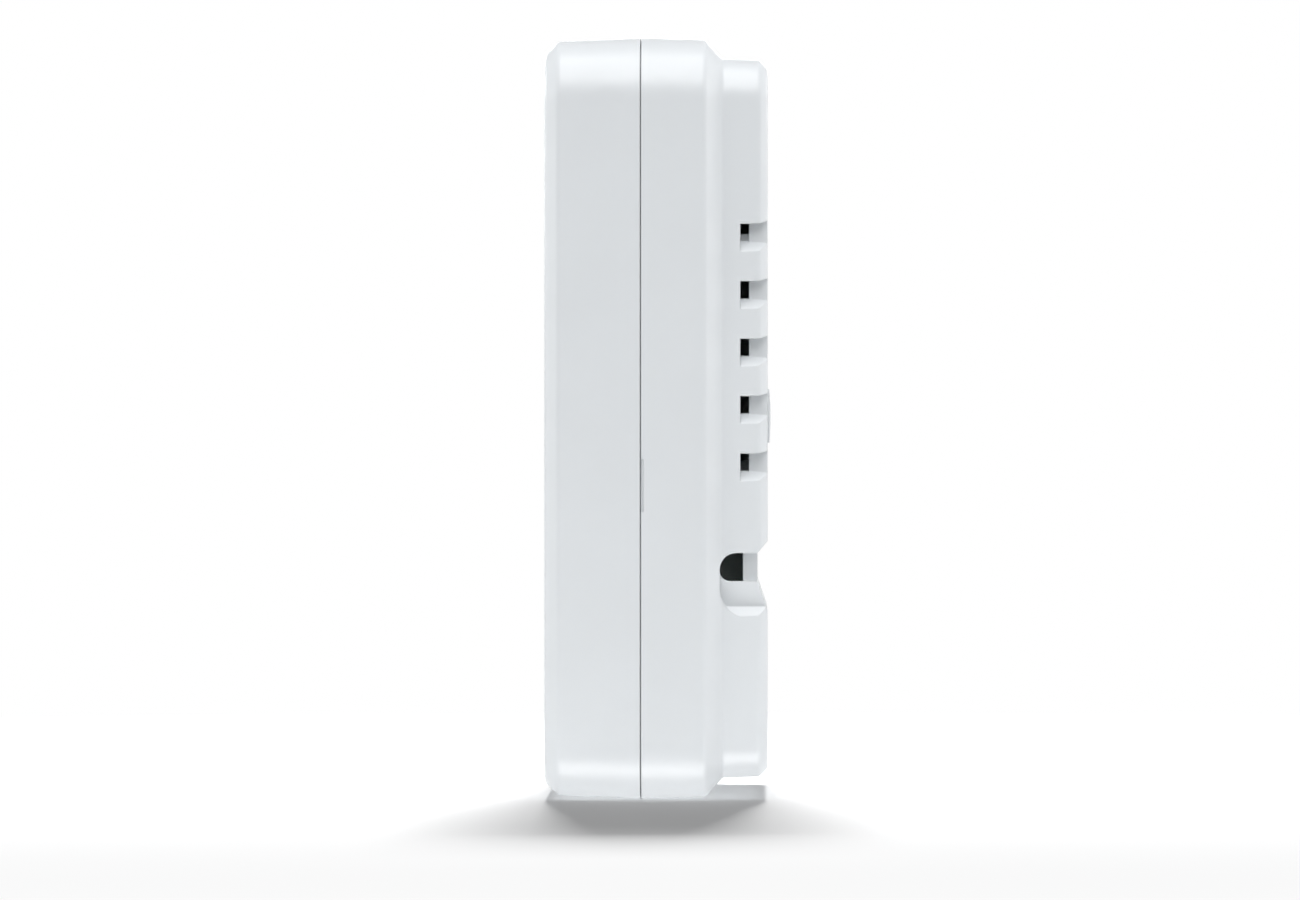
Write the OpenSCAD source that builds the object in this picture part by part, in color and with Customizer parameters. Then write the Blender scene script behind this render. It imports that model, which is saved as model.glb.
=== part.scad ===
// Wall-mounted programmable timer for a heating or hot water circuit.
// Frame: +Z up, the wall is the plane Y = 0, the front faces -Y, and the origin is the centre of the
// rear face. Every sub-part is drawn on the bench frame, lying on its back: x is the width, y the height
// and z the distance from the wall. upright() stands it up against the wall.

/* [Case] */
// Width at the seam
body_w = 84; // [78:1:110]
// Height at the seam
body_h = 120; // [112:1:150]
// Corner radius seen from the front, at the seam
corner_r = 10; // [9:0.5:14]
// Wall thickness of both shells
wall = 2; // [1.8:0.1:2.4]
// Thickness of the rear panel
panel_t = 2.5; // [2.2:0.1:3]
// Depth of the front cover, from the seam to the front face
front_d = 15.2; // [14.8:0.2:20]
// Depth of the straight part of the base's wall, behind the seam
rear_wall_d = 10.1; // [9.1:0.2:14.1]
// Depth of the sloped step between the base's wall and the plinth
step_d = 2.7; // [2:0.1:3.5]
// Depth of the plinth that stands on the wall
plinth_d = 7.1; // [6.7:0.2:10.1]
// How far the plinth stands in from the seam, all round
plinth_inset = 3.3; // [2.6:0.1:3.8]
// Draft of the front cover, seam to front face
front_draft = 0.5; // [0.2:0.1:0.8]
// Draft of the base's wall, seam to step
rear_draft = 0.25; // [0.1:0.05:0.4]
// Draft of the plinth
plinth_draft = 0.2; // [0:0.05:0.3]
// Chamfer round the front face
front_chamfer = 2.1; // [1.2:0.1:2.4]
// Chamfer round the rear face
rear_chamfer = 1.3; // [0.8:0.1:1.6]

/* [Seam] */
// Shadow gap between the two shells
seam_gap = 0.15; // [0.1:0.05:0.5]
// Height of the base's lip inside the cover
lip_h = 3; // [2.4:0.1:4]
// Wall left outside the lip
rim_t = 1.05; // [0.9:0.05:1.3]
// Clearance between lip and cover
lip_clearance = 0.1; // [0.05:0.05:0.2]
// Length of the slot for prying the cover off
pry_l = 8.2; // [6:0.2:12]
// Height of that slot's centre above the middle
pry_y = -10.6; // [-20:0.2:0]
// Height of that slot in the base's rim
pry_h = 0.4; // [0.3:0.1:0.8]
// Depth of that slot into the rim
pry_d = 0.3; // [0.2:0.05:1]

// Width of a snap hook
hook_w = 6; // [4:0.5:8]
// How far a hook's nose reaches into the base's wall
hook_catch = 0.6; // [0.4:0.05:0.7]

/* [Vents] */
// Number of vents on each side
vent_count = 5; // [3:1:5]
// Height of the highest vent's upper edge above the middle
vent_top = 30.5; // [24:0.5:36]
// Distance from vent to vent
vent_pitch = 9.03; // [8:0.01:10]
// Height of a vent at the outside
vent_h = 4.4; // [3.6:0.1:5]
// Height of a vent's opening at the inside
vent_window_h = 2.6; // [2:0.1:3]
// Depth of a vent, from the rear face
vent_d = 4.3; // [4.1:0.1:5]
// Width of a vent's opening at the inside
vent_window_w = 1.35; // [1:0.05:1.5]
// Rise of a vent's floor towards the rear face
vent_floor_rise = 0.45; // [0:0.05:0.8]
// Radius between a vent's floor and its sill
vent_scoop = 1; // [0.4:0.1:1.2]
// Rise of a vent's roof through the wall
vent_rise = 0.7; // [0.3:0.1:1]

/* [Cable entries] */
// Height of the side entry's upper edge above the middle
notch_top = -21.2; // [-24:0.2:-20]
// Height of the side entry's opening at the inside
notch_h = 4.4; // [4.3:0.1:5.4]
// Height of the side entry at the outside, with its flare
notch_flare_h = 10.1; // [8:0.1:11]
// Height of the ledge at the lower end of that flare
notch_ledge_h = 1.7; // [1:0.1:2.4]
// Depth of the side entry, from the rear face
notch_d = 7.55; // [7:0.05:8]
// Depth of the cable channel across the rear face
channel_d = 1.6; // [1:0.1:2]
// Width of the rear cable opening
rear_entry_w = 28; // [20:1:36]
// Height of the rear cable opening
rear_entry_h = 14; // [10:1:16]

/* [Wall fixings] */
// Distance between the upper and lower wall screws
wall_screw_pitch = 100; // [90:1:100]
// Diameter of a wall screw's hole
wall_screw_hole = 4.4; // [3.6:0.1:5]
// Distance between the flush box screws
box_screw_pitch = 60.3; // [60:0.1:62]
// Width of a flush box screw's slot
box_slot_w = 4.2; // [3.6:0.1:4.6]
// Length of a flush box screw's slot, end to end
box_slot_l = 7; // [6:0.5:9]
// Height of the flush box screws above the middle
box_screw_y = -40; // [-42:1:-38]

/* [Display] */
// Width of the lens
lens_w = 62; // [50:1:66]
// Height of the lens
lens_h = 36; // [28:1:38]
// Thickness of the lens
lens_t = 1.5; // [1:0.1:1.6]
// Height of the display's centre above the middle
display_y = 25; // [24:0.5:28]

/* [Keys] */
// Travel of a button
key_travel = 0.8; // [0.3:0.1:0.9]
// Gap between a button and the cover, all round
key_gap = 0.25; // [0.15:0.05:0.4]
// Width of a small button
small_key_w = 11; // [8:0.5:12]
// Height of a small button
small_key_h = 7; // [6:0.5:9]
// Distance from small button to small button
small_key_pitch = 15; // [14.5:0.5:16]
// Width of a large button
large_key_w = 26; // [20:1:27]
// Height of a large button
large_key_h = 9; // [7:0.5:10]
// Height of the row of small buttons above the middle
small_row_y = -7.5; // [-9:0.5:-7]
// Height of the row of large buttons above the middle
large_row_y = -22.5; // [-24:0.5:-21]
// Height of the row with the slider above the middle
slider_row_y = -38.5; // [-40:0.5:-37]
// Slider travel each way from its middle position
slider_travel = 4; // [2:0.5:4]

/* [Boards] */
// Thickness of both circuit boards
board_t = 1.6; // [1:0.1:1.6]
// Gap between the rear panel and the power board
power_board_gap = 4; // [3.5:0.1:4.5]
// Gap between the cover's front wall and the display board
display_board_gap = 5.4; // [5.2:0.1:6]
// Height of the relay above its board
relay_h = 15.7; // [12:0.1:16]
// Distance from terminal to terminal
pole_pitch = 7.62; // [7:0.01:8]
// Number of terminals
poles = 5; // [3:1:5]

/* [Hidden] */
$fn = 64;
eps = 0.01;
cut = 1; // how far a cutter runs past what it cuts
arc_steps = 6;

seam_z = plinth_d + step_d + rear_wall_d;
front_z = seam_z + front_d;
half_w = body_w / 2;
half_h = body_h / 2;
plinth_r = corner_r - plinth_inset;
plinth_half_w = half_w - plinth_inset;
plinth_half_h = half_h - plinth_inset;
plinth_cavity_r = plinth_r - wall;
plinth_cavity_x = plinth_half_w - wall;
base_cavity_r = corner_r - rear_draft - wall;
cover_cavity_r = corner_r - front_draft - wall;
rebate_r = corner_r - rim_t;
lip_r = rebate_r - lip_clearance;
front_inner_z = front_z - wall;

vent_window_z = vent_d - vent_window_w;
vent_floor_t = 0.2; // wall left beside the opening, behind a vent's floor
entry_web = 0.6; // least wall left at the inside of the side entry's flare
entry_lean = 0.45; // how much thicker that wall is beside the opening

wall_boss_r = 4.6;
wall_boss_h = 1.4;
rib_t = 1.6;
rib_clearance = 0.2; // between the ribs and the power board
board_rib_x = 5;
board_rib_y = [-12, 38];
guide_y = vent_top - 3.1;
guide_reach = 0.4; // how far the guides run under the board's edge
barrier_y = [-32.5, -14.5];
barrier_h = 12;
entry_rim = [1.5, 1.2]; // width and height of the rib round the rear cable opening

hook_t = 1.3;
hook_gap = 0.45; // between a hook and the inside of the base's lip
hook_low = 5; // lower end of a nose, below the seam
hook_nose_h = 1.6;
hook_room = 0.4; // room round a nose in its pocket
hook_root = [5.5, 9]; // where a hook joins the cover's wall, above the seam

board_screw_r = 1.1;
board_screw_head_r = 2.5;
board_screw_head_t = 1.8;
screw_recess = [2.8, 0.6, 1]; // one arm of the cross recess
screw_clearance = 0.05;
screw_hole_r = board_screw_r + screw_clearance;
screw_hole_d = 3.5; // depth of a screw's hole in its boss
board_hole_r = 1.6;
boss_r = 3;

plug_y = 0.5;
plug_seat = 0.5; // depth of the seat round the plug's head
plug_seat_gap = 0.15;
plug_r = 4.35;
plug_edge = 0.35;
plug_dome = 0.22;
plug_stem_r = 2.4;
plug_barb = [0.4, -0.6, 1.4]; // what the barb adds to the stem's radius at its two ends, and its length

power_board_z = panel_t + power_board_gap;
power_board_top = power_board_z + board_t;
power_board_w = 66;
power_board_y = [-13, 45];
power_screws = [[-29.5, -9.5], [29.5, -9.5], [-29.5, 41.5], [29.5, 41.5]];

display_board_z = front_inner_z - display_board_gap; // face towards the front
display_board_rear = display_board_z - board_t;
display_board_w = 68;
display_board_y = [-52, 53];
display_screws_at = [[-30, -48], [30, -48], [-30, 49], [30, 49]];

channel_floor_y = [notch_top - notch_h, notch_top];
channel_mouth_y = [notch_top - notch_flare_h + 1, notch_top + 1.9];
jog_z = channel_d + 2.3; // inner face of the rear panel behind the channel
jog_y = [channel_mouth_y[0] - 1.5, channel_mouth_y[1] + 1];

clamp_x = 24;
clamp_post_y = [notch_top - notch_h - 2.8, notch_top + 2.9];
clamp_post_r = 2.5;
clamp_z = 8;
clamp_bar_t = 2;

small_key_names = ["menu", "minus", "plus", "ok"];
large_key_names = ["boost", "advance"];
reset_at = [26, slider_row_y];
slider_x = -15;
pipe_at = [[6, slider_row_y], [13, slider_row_y]];
function small_key_at(i) = [(i - 1.5) * small_key_pitch, small_row_y];
function large_key_at(i) = [(i - 0.5) * 2 * small_key_pitch, large_row_y];
key_places = concat(
    [for (i = [0:3]) small_key_at(i)], [for (i = [0:1]) large_key_at(i)], [reset_at]);

small_key_r = 2;
large_key_r = 3;
key_flange = 1; // how far a button's flange runs under the cover
key_flange_t = 1;
key_flange_z = front_inner_z - 0.1; // front face of every flange
switch_w = 6;
switch_z = display_board_z + 3.4; // top of a key switch's body
plunger_r = 1.7;
plunger_z = key_flange_z - key_flange_t; // front end of every plunger
plunger_l = 1.9;
reset_r = 2.2;

display_glass_t = 2.4;
display_glass_z = front_inner_z - 0.4 - display_glass_t;
display_glass_size = [lens_w + 2, lens_h + 1];
display_frame_t = 1.6;

link_at = [-27.5, 4];
link_pitch = 2.54;
link_rows = [2, 5];
pin_w = 0.64;

// ---------------------------------------------------------------- helpers

module upright() rotate([90, 0, 0]) children();

function unit(v) = v / norm(v);

// Points of one corner of an outline, rounded to radius r.
function corner_points(before, at, after, r) =
    r == 0 ? [at] :
    let (u = unit(before - at),
         v = unit(after - at),
         half = acos(u * v) / 2,
         centre = at + unit(u + v) * r / sin(half),
         from = at + u * r / tan(half) - centre,
         to = at + v * r / tan(half) - centre,
         start = atan2(from[1], from[0]),
         turn = atan2(to[1], to[0]) - start,
         sweep = turn > 180 ? turn - 360 : turn < -180 ? turn + 360 : turn)
    [for (i = [0:arc_steps])
        centre + r * [cos(start + sweep * i / arc_steps), sin(start + sweep * i / arc_steps)]];

// Outline through [x, y, r] points, each corner rounded to its r.
function rounded(points) =
    let (n = len(points), at = [for (p = points) [p[0], p[1]]])
    [for (i = [0:n - 1])
        each corner_points(at[(i + n - 1) % n], at[i], at[(i + 1) % n], points[i][2])];

// Solid on a rounded rectangle of w by h and corner radius r. The profile's points are [distance out from
// the corner's centre, z], and its first and last points are the ones at distance 0.
module swept(w, h, r, profile) {
    x = w / 2 - r;
    y = h / 2 - r;
    low = profile[0][1];
    high = profile[len(profile) - 1][1];
    translate([-x, -y, min(low, high)]) cube([2 * x, 2 * y, abs(high - low)]);
    for (i = [0:3]) {
        side = i % 2 == 0 ? [x, y] : [y, x];
        rotate(90 * i) {
            translate([side[0], side[1], 0]) rotate_extrude(angle = 90) polygon(profile);
            translate([side[0], side[1], 0]) rotate([90, 0, 0]) linear_extrude(2 * side[1]) polygon(profile);
        }
    }
}

// Rounded rectangular block, centred in x and y, standing on z = 0.
module block(size, r) swept(size[0], size[1], r, [[0, 0], [r, 0], [r, size[2]], [0, size[2]]]);

// Plain box, centred in x and y, standing on z = 0.
module box(size) translate([-size[0] / 2, -size[1] / 2, 0]) cube(size);

module at(p, z) translate([p[0], p[1], z]) children();

module peg(r, h) cylinder(r = r, h = h);

// Slot along x, centred, with round ends.
module slot(length, width, h) {
    straight = length - width;
    translate([-straight / 2, -width / 2, 0]) cube([straight, width, h]);
    for (side = [-1, 1]) translate([side * straight / 2, 0, 0]) peg(width / 2, h);
}

module both_sides() {
    children();
    mirror([1, 0, 0]) children();
}

// Prism along x, from x0 to x1, of an outline in [y, z].
module along_x(x0, x1) translate([x0, 0, 0]) rotate([90, 0, 90]) linear_extrude(x1 - x0) children();

// Prism along y, from y0 to y1, of an outline in [x, z].
module along_y(y0, y1) translate([0, y1, 0]) rotate([90, 0, 0]) linear_extrude(y1 - y0) children();

// ---------------------------------------------------------------- base

base_outline = rounded([
    [0, 0, 0],
    [plinth_r - plinth_draft - rear_chamfer, 0, 1.2],
    [plinth_r - plinth_draft, rear_chamfer, 1.2],
    [plinth_r, plinth_d, 0.8],
    [corner_r - rear_draft, plinth_d + step_d, 1.2],
    [corner_r, seam_z, 0],
    [0, seam_z, 0]
]);

base_cavity = [
    [0, panel_t], [plinth_cavity_r, panel_t], [plinth_cavity_r, plinth_d + 1.2],
    [base_cavity_r, plinth_d + step_d + 1.1], [base_cavity_r, seam_z + lip_h + cut], [0, seam_z + lip_h + cut]
];

// The cover's hooks: [quarter turns, distance along the wall].
hook_places = [[0, 27], [0, -27], [2, 27], [2, -27], [1, 0], [3, 0]];
base_wall_in = base_cavity_r - corner_r; // inner face of the base's wall, from the outline

// Puts a hook on its wall: x is then the distance out from the outline at the seam.
module hook_at(p) rotate(90 * p[0])
    translate([p[0] % 2 == 0 ? half_w : half_h, p[1], 0]) children();

// One vent: a small opening through the wall and, towards the wall side, a scooped floor.
module vent(top) {
    x_in = plinth_cavity_x;
    x_out = plinth_half_w + cut;
    fall = (vent_h - vent_window_h) / wall;
    lean = vent_rise / wall;
    roof = function (x) top - (x - plinth_half_w) * lean;
    sill = function (x) top - vent_h - (x - plinth_half_w) * fall;
    translate([0, 0, vent_window_z]) linear_extrude(vent_window_w) polygon([
        [x_in - cut, roof(x_in - cut)], [x_out, roof(x_out)], [x_out, sill(x_out)], [x_in, sill(x_in)],
        [x_in - cut, sill(x_in)]
    ]);
    intersection() {
        translate([0, 0, -cut]) linear_extrude(vent_window_z + cut) polygon(rounded([
            [x_in, roof(x_in), 0.25], [x_out, roof(x_out), 0], [x_out, sill(x_out), 0],
            [x_in, sill(x_in), vent_scoop]
        ]));
        along_y(top - 2 * vent_h, top + vent_h) polygon([
            [x_in + vent_floor_rise, -cut], [x_out, -cut], [x_out, vent_window_z],
            [x_in + vent_floor_t, vent_window_z], [x_in + vent_floor_t, vent_window_z - 1]
        ]);
    }
}

module side_entry() {
    x_in = plinth_cavity_x;
    x_out = half_w;
    window_low = notch_top - notch_h;
    flare_low = notch_top - notch_flare_h;
    ledge_high = flare_low + notch_ledge_h;
    slope = notch_ledge_h / (wall - entry_web);
    intersection() {
        along_x(x_in - cut, x_out) polygon(rounded([
            [notch_top, -cut, 0], [window_low, -cut, 0], [window_low, notch_d, 1.6],
            [notch_top, notch_d, 2.6]
        ]));
        along_y(window_low - cut, notch_top + cut) polygon([
            [x_in, -2 * cut], [x_out, -2 * cut], [x_out, notch_d + cut], [x_in - cut, notch_d + cut],
            [x_in - cut, jog_z], [x_in, jog_z]
        ]);
    }
    intersection() {
        along_x(x_in, x_out) polygon(rounded([
            [notch_top, -cut, 0], [flare_low, -cut, 0], [flare_low, notch_d, 4.4],
            [notch_top, notch_d, 2.6]
        ]));
        translate([0, 0, -2 * cut]) linear_extrude(notch_d + 4 * cut) polygon([
            [x_in + entry_web + entry_lean, notch_top], [x_in + entry_web + entry_lean, window_low],
            [x_in + entry_web, ledge_high], [x_out, ledge_high - slope * (x_out - x_in - entry_web)],
            [x_out, notch_top]
        ]);
    }
}

module cable_channel()
    along_x(-half_w, half_w) polygon(rounded([
        [channel_mouth_y[1], -cut, 0], [channel_mouth_y[0], -cut, 0], [channel_mouth_y[0], 0, 0],
        [channel_floor_y[0], channel_d, 0.6], [channel_floor_y[1], channel_d, 0.3],
        [channel_mouth_y[1], 0, 0]
    ]));

module base_housing() color("white") upright() difference() {
    union() {
        difference() {
            union() {
                swept(body_w, body_h, corner_r, base_outline);
                swept(body_w, body_h, corner_r, [[0, seam_z - cut], [lip_r, seam_z - cut],
                    [lip_r, seam_z + lip_h], [0, seam_z + lip_h]]);
            }
            swept(body_w, body_h, corner_r, base_cavity);
        }
        // rear panel, set in behind the cable channel
        translate([-plinth_cavity_x - eps, jog_y[0], panel_t - cut])
            cube([2 * (plinth_cavity_x + eps), jog_y[1] - jog_y[0], jog_z - panel_t + cut]);
        for (p = power_screws) at(p, panel_t - cut) peg(boss_r, power_board_gap + cut);
        for (y = [-1, 1]) at([0, y * wall_screw_pitch / 2], panel_t - cut)
            peg(wall_boss_r, wall_boss_h + cut);
        both_sides() for (y = clamp_post_y) at([clamp_x, y], panel_t - cut)
            peg(clamp_post_r, clamp_z - panel_t + cut);
        // rib under the power board, and barrier between the two sides of the wiring space
        translate([board_rib_x, board_rib_y[0], panel_t - cut])
            cube([rib_t, board_rib_y[1] - board_rib_y[0], power_board_gap - rib_clearance + cut]);
        translate([-rib_t / 2, barrier_y[0], panel_t - cut])
            cube([rib_t, barrier_y[1] - barrier_y[0], barrier_h + cut]);
        // guides for the board's edges, behind the highest vents
        both_sides() translate([power_board_w / 2 - guide_reach, guide_y, panel_t - cut])
            cube([plinth_cavity_x - power_board_w / 2 + guide_reach + eps, rib_t,
                power_board_gap - rib_clearance + cut]);
        // rib round the rear cable opening
        at([0, box_screw_y], panel_t - cut)
            box([rear_entry_w + 2 * entry_rim[0], rear_entry_h + 2 * entry_rim[0], entry_rim[1] + cut]);
    }
    cable_channel();
    both_sides() {
        side_entry();
        for (i = [0:vent_count - 1]) vent(vent_top - i * vent_pitch);
        translate([half_w - pry_d, pry_y - pry_l / 2, seam_z - pry_h])
            cube([pry_d + cut, pry_l, pry_h + cut]);
    }
    at([0, box_screw_y], -cut) box([rear_entry_w, rear_entry_h, panel_t + entry_rim[1] + 2 * cut]);
    for (y = [-1, 1]) at([0, y * wall_screw_pitch / 2], -cut)
        peg(wall_screw_hole / 2, panel_t + wall_boss_h + 2 * cut);
    for (x = [-1, 1]) at([x * box_screw_pitch / 2, box_screw_y], -cut)
        slot(box_slot_l, box_slot_w, panel_t + 2 * cut);
    for (p = power_screws) at(p, power_board_z - screw_hole_d) peg(screw_hole_r, screw_hole_d + cut);
    both_sides() for (y = clamp_post_y) at([clamp_x, y], clamp_z - screw_hole_d)
        peg(screw_hole_r, screw_hole_d + cut);
    at([0, plug_y], -cut) peg(plug_stem_r + screw_clearance, panel_t + 2 * cut);
    at([0, plug_y], -cut) peg(plug_r + plug_seat_gap, plug_seat + cut);
    // pockets that the cover's hooks snap into
    for (p = hook_places) hook_at(p)
        translate([base_wall_in - cut, -hook_w / 2 - hook_room, seam_z - hook_low - hook_room])
            cube([hook_catch + 0.25 + cut, hook_w + 2 * hook_room, hook_nose_h + 2 * hook_room]);
}

// Soft plug that closes the centre fixing hole. Its domed head stands a little proud of the rear face.
module rear_plug() color("whitesmoke") upright() at([0, plug_y], 0) {
    dome_r = (plug_r * plug_r + plug_dome * plug_dome) / (2 * plug_dome);
    rotate_extrude() polygon(concat(
        [[0, plug_seat], [plug_r, plug_seat]],
        [for (i = [0:arc_steps]) let (r = plug_r * (1 - i / arc_steps))
            [r, -plug_edge - sqrt(dome_r * dome_r - r * r) + dome_r - plug_dome]]
    ));
    translate([0, 0, plug_seat - eps]) peg(plug_stem_r, panel_t - plug_seat + eps);
    translate([0, 0, panel_t])
        cylinder(r1 = plug_stem_r + plug_barb[0], r2 = plug_stem_r + plug_barb[1], h = plug_barb[2]);
}

// ---------------------------------------------------------------- power board and what is on it

module power_board() color("seagreen") upright() difference() {
    translate([-power_board_w / 2, power_board_y[0], power_board_z])
        cube([power_board_w, power_board_y[1] - power_board_y[0], board_t]);
    for (p = power_screws) at(p, power_board_z - cut) peg(board_hole_r, board_t + 2 * cut);
}

// Pan head screw, head down on z = 0 and pointing up, with a cross recess.
module cross_screw(length) difference() {
    union() {
        rotate_extrude() polygon(rounded([
            [0, 0, 0], [board_screw_head_r, 0, 0], [board_screw_head_r, -board_screw_head_t, 0.9],
            [0, -board_screw_head_t, 0]
        ]));
        translate([0, 0, -eps]) peg(board_screw_r, length - 1 + eps);
        translate([0, 0, length - 1 - eps]) cylinder(r1 = board_screw_r, r2 = 0.3, h = 1);
    }
    for (a = [0, 90]) rotate(a) translate([0, 0, -board_screw_head_t - cut])
        box([screw_recess[0], screw_recess[1], screw_recess[2] + cut]);
}

module board_screws() color("silver") upright()
    for (p = power_screws) at(p, power_board_top) mirror([0, 0, 1]) cross_screw(board_t + 3);

block_w = poles * pole_pitch + 0.6;
block_y = [power_board_y[0] + 0.5, power_board_y[0] + 11.5];
block_h = 12;
pole_y = block_y[0] + 4;
entry_z = power_board_top + 3;
entry_size = [3.6, 7, 4];
well_r = 2.1;
function pole_x(i) = (i - (poles - 1) / 2) * pole_pitch;

module terminal_block() color("gainsboro") upright() difference() {
    union() {
        translate([-block_w / 2, block_y[0], power_board_top])
            cube([block_w, block_y[1] - block_y[0], block_h - 2]);
        translate([-block_w / 2, block_y[0] + 1, power_board_top])
            cube([block_w, block_y[1] - block_y[0] - 3.5, block_h]);
    }
    for (i = [0:poles - 1]) {
        translate([pole_x(i) - entry_size[0] / 2, block_y[0] - cut, entry_z])
            cube([entry_size[0], entry_size[1] + cut, entry_size[2]]);
        at([pole_x(i), pole_y], entry_z + entry_size[2] - eps) peg(well_r, block_h);
    }
    // slots between the poles
    for (i = [0:poles]) at([pole_x(i) - pole_pitch / 2, block_y[0]], entry_z - 1)
        translate([-0.3, -cut, 0]) cube([0.6, 2 + cut, block_h]);
}

module terminal_clamps() color("silver") upright()
    for (i = [0:poles - 1]) at([pole_x(i), pole_y], entry_z + 0.1) difference() {
        box([entry_size[0] - 0.2, 3, entry_size[2] - 0.2]);
        translate([0, 0, 0.5]) box([entry_size[0] - 1.2, 3 + 2 * cut, entry_size[2] - 1.2]);
    }

module terminal_screws() color("silver") upright()
    for (i = [0:poles - 1]) at([pole_x(i), pole_y], entry_z + entry_size[2] - 0.1) difference() {
        union() {
            peg(1.3, 2.2);
            translate([0, 0, 2.2 - eps]) peg(well_r - 0.1, 1.8);
        }
        translate([0, 0, 3]) box([well_r * 2 + cut, 0.6, 2]);
    }

relay_at = [24, 20];
relay_size = [12.7, 29, relay_h];

module relay() color("royalblue") upright() at(relay_at, power_board_top) block(relay_size, 0.8);

transformer_at = [-8, 12];
bobbin_foot = [17, 13, 2];
transformer_core = [18, 6, 11];
winding = [12, 16, 10];
winding_z = 2.5;

module transformer() color("khaki") upright() at(transformer_at, power_board_top) {
    box(bobbin_foot);
    translate([0, 0, bobbin_foot[2]]) box(transformer_core);
    translate([0, 0, winding_z]) block(winding, 2);
}

filter_at = [-8, 27];
filter_size = [18, 7, 12.5];

module filter_capacitor() color("gold") upright() at(filter_at, power_board_top) block(filter_size, 0.6);

// The cans: [x, y, radius, height].
cans = [[9, 24, 4, 12], [9, 36, 3.15, 11]];
can_groove_z = [1.6, 1.9, 2.2];
can_groove_d = 0.3;

module smoothing_capacitors() color("black") upright()
    for (c = cans) at([c[0], c[1]], power_board_top) rotate_extrude() polygon(rounded([
        [0, 0, 0], [c[2], 0, 0.4], [c[2], can_groove_z[0], 0], [c[2] - can_groove_d, can_groove_z[1], 0],
        [c[2], can_groove_z[2], 0], [c[2], c[3], 0.5], [0, c[3], 0]
    ]));

varistor_at = [-26, 21];
varistor_r = 5;
varistor_t = 4;
varistor_rise = 5.4; // height of the disc's centre above the board
varistor_lead = [2.5, 0.4, 2]; // offset, radius and height of a lead

module varistor() color("dodgerblue") upright() at(varistor_at, power_board_top) {
    translate([-varistor_t / 2, 0, varistor_rise]) rotate([0, 90, 0]) rotate_extrude() polygon(rounded([
        [0, 0, 0], [varistor_r, 0, 0.9], [varistor_r, varistor_t, 0.9], [0, varistor_t, 0]
    ]));
    for (side = [-1, 1]) at([0, side * varistor_lead[0]], 0) peg(varistor_lead[1], varistor_lead[2]);
}

fuse_at = [9, 8];
fuse_size = [8.4, 4.2, 7.6];

module fuse() color("saddlebrown") upright() at(fuse_at, power_board_top) block(fuse_size, 1.2);

bridge_at = [-26, 34];
bridge_size = [6.4, 8.4, 3.1];
bridge_rise = 0.3;
bridge_leg = [0.9, 1.1, 2];
bridge_leg_at = [3.6, 2.54];

module bridge_rectifier() color("dimgray") upright() at(bridge_at, power_board_top) {
    translate([0, 0, bridge_rise]) block(bridge_size, 0.4);
    for (x = [-1, 1], y = [-1, 1]) at([x * bridge_leg_at[0], y * bridge_leg_at[1]], 0) box(bridge_leg);
}

// Every place of a pin in the link between the two boards.
link_pins = [for (i = [0:link_rows[0] - 1], j = [0:link_rows[1] - 1])
    [(i - (link_rows[0] - 1) / 2) * link_pitch, (j - (link_rows[1] - 1) / 2) * link_pitch]];
link_size = [link_rows[0] * link_pitch, link_rows[1] * link_pitch];
socket_h = 8.5;

module link_socket() color("black") upright() at(link_at, power_board_top) difference() {
    box([link_size[0], link_size[1], socket_h]);
    for (p = link_pins) at(p, 1) box([pin_w + 0.4, pin_w + 0.4, socket_h]);
}

module cable_clamp() translate([clamp_x, 0, clamp_z]) difference() {
    union() {
        translate([-3, clamp_post_y[0] - 3, 0])
            cube([6, clamp_post_y[1] - clamp_post_y[0] + 6, clamp_bar_t]);
        // saddle that bites on the cable
        along_x(-1, 1) polygon([
            [clamp_post_y[0] + 2.8, eps], [clamp_post_y[0] + 3.6, -1], [clamp_post_y[1] - 3.6, -1],
            [clamp_post_y[1] - 2.8, eps]
        ]);
    }
    for (y = clamp_post_y) at([0, y], -cut) peg(1.4, clamp_bar_t + 2 * cut);
}

module cable_clamp_right() color("gainsboro") upright() cable_clamp();
module cable_clamp_left() color("gainsboro") upright() mirror([1, 0, 0]) cable_clamp();

module clamp_screws() color("silver") upright() both_sides()
    for (y = clamp_post_y) at([clamp_x, y], clamp_z + clamp_bar_t) mirror([0, 0, 1]) cross_screw(5);

// ---------------------------------------------------------------- front cover

cover_outline = rounded([
    [0, seam_z + seam_gap, 0],
    [corner_r, seam_z + seam_gap, 0],
    [corner_r - front_draft, front_z - front_chamfer, 1.5],
    [corner_r - front_draft - front_chamfer + 0.1, front_z, 1.5],
    [0, front_z, 0]
]);

rebate_z = seam_z + lip_h + 0.15; // end of the recess that the lip goes into
front_fillet = 1.6;
cover_cavity = [
    [0, seam_z], [rebate_r, seam_z], [rebate_r, rebate_z], [cover_cavity_r, rebate_z],
    [cover_cavity_r, front_inner_z - front_fillet], [cover_cavity_r - front_fillet, front_inner_z],
    [0, front_inner_z]
];

module key_hole(size, r) block([size[0] + 2 * key_gap, size[1] + 2 * key_gap, wall + 2 * cut], r + key_gap);

slider_knob = [5, 3.8];
slider_dish = [2 * slider_travel + slider_knob[0] + 7, 8.6];
slider_dish_d = 1;

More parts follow.
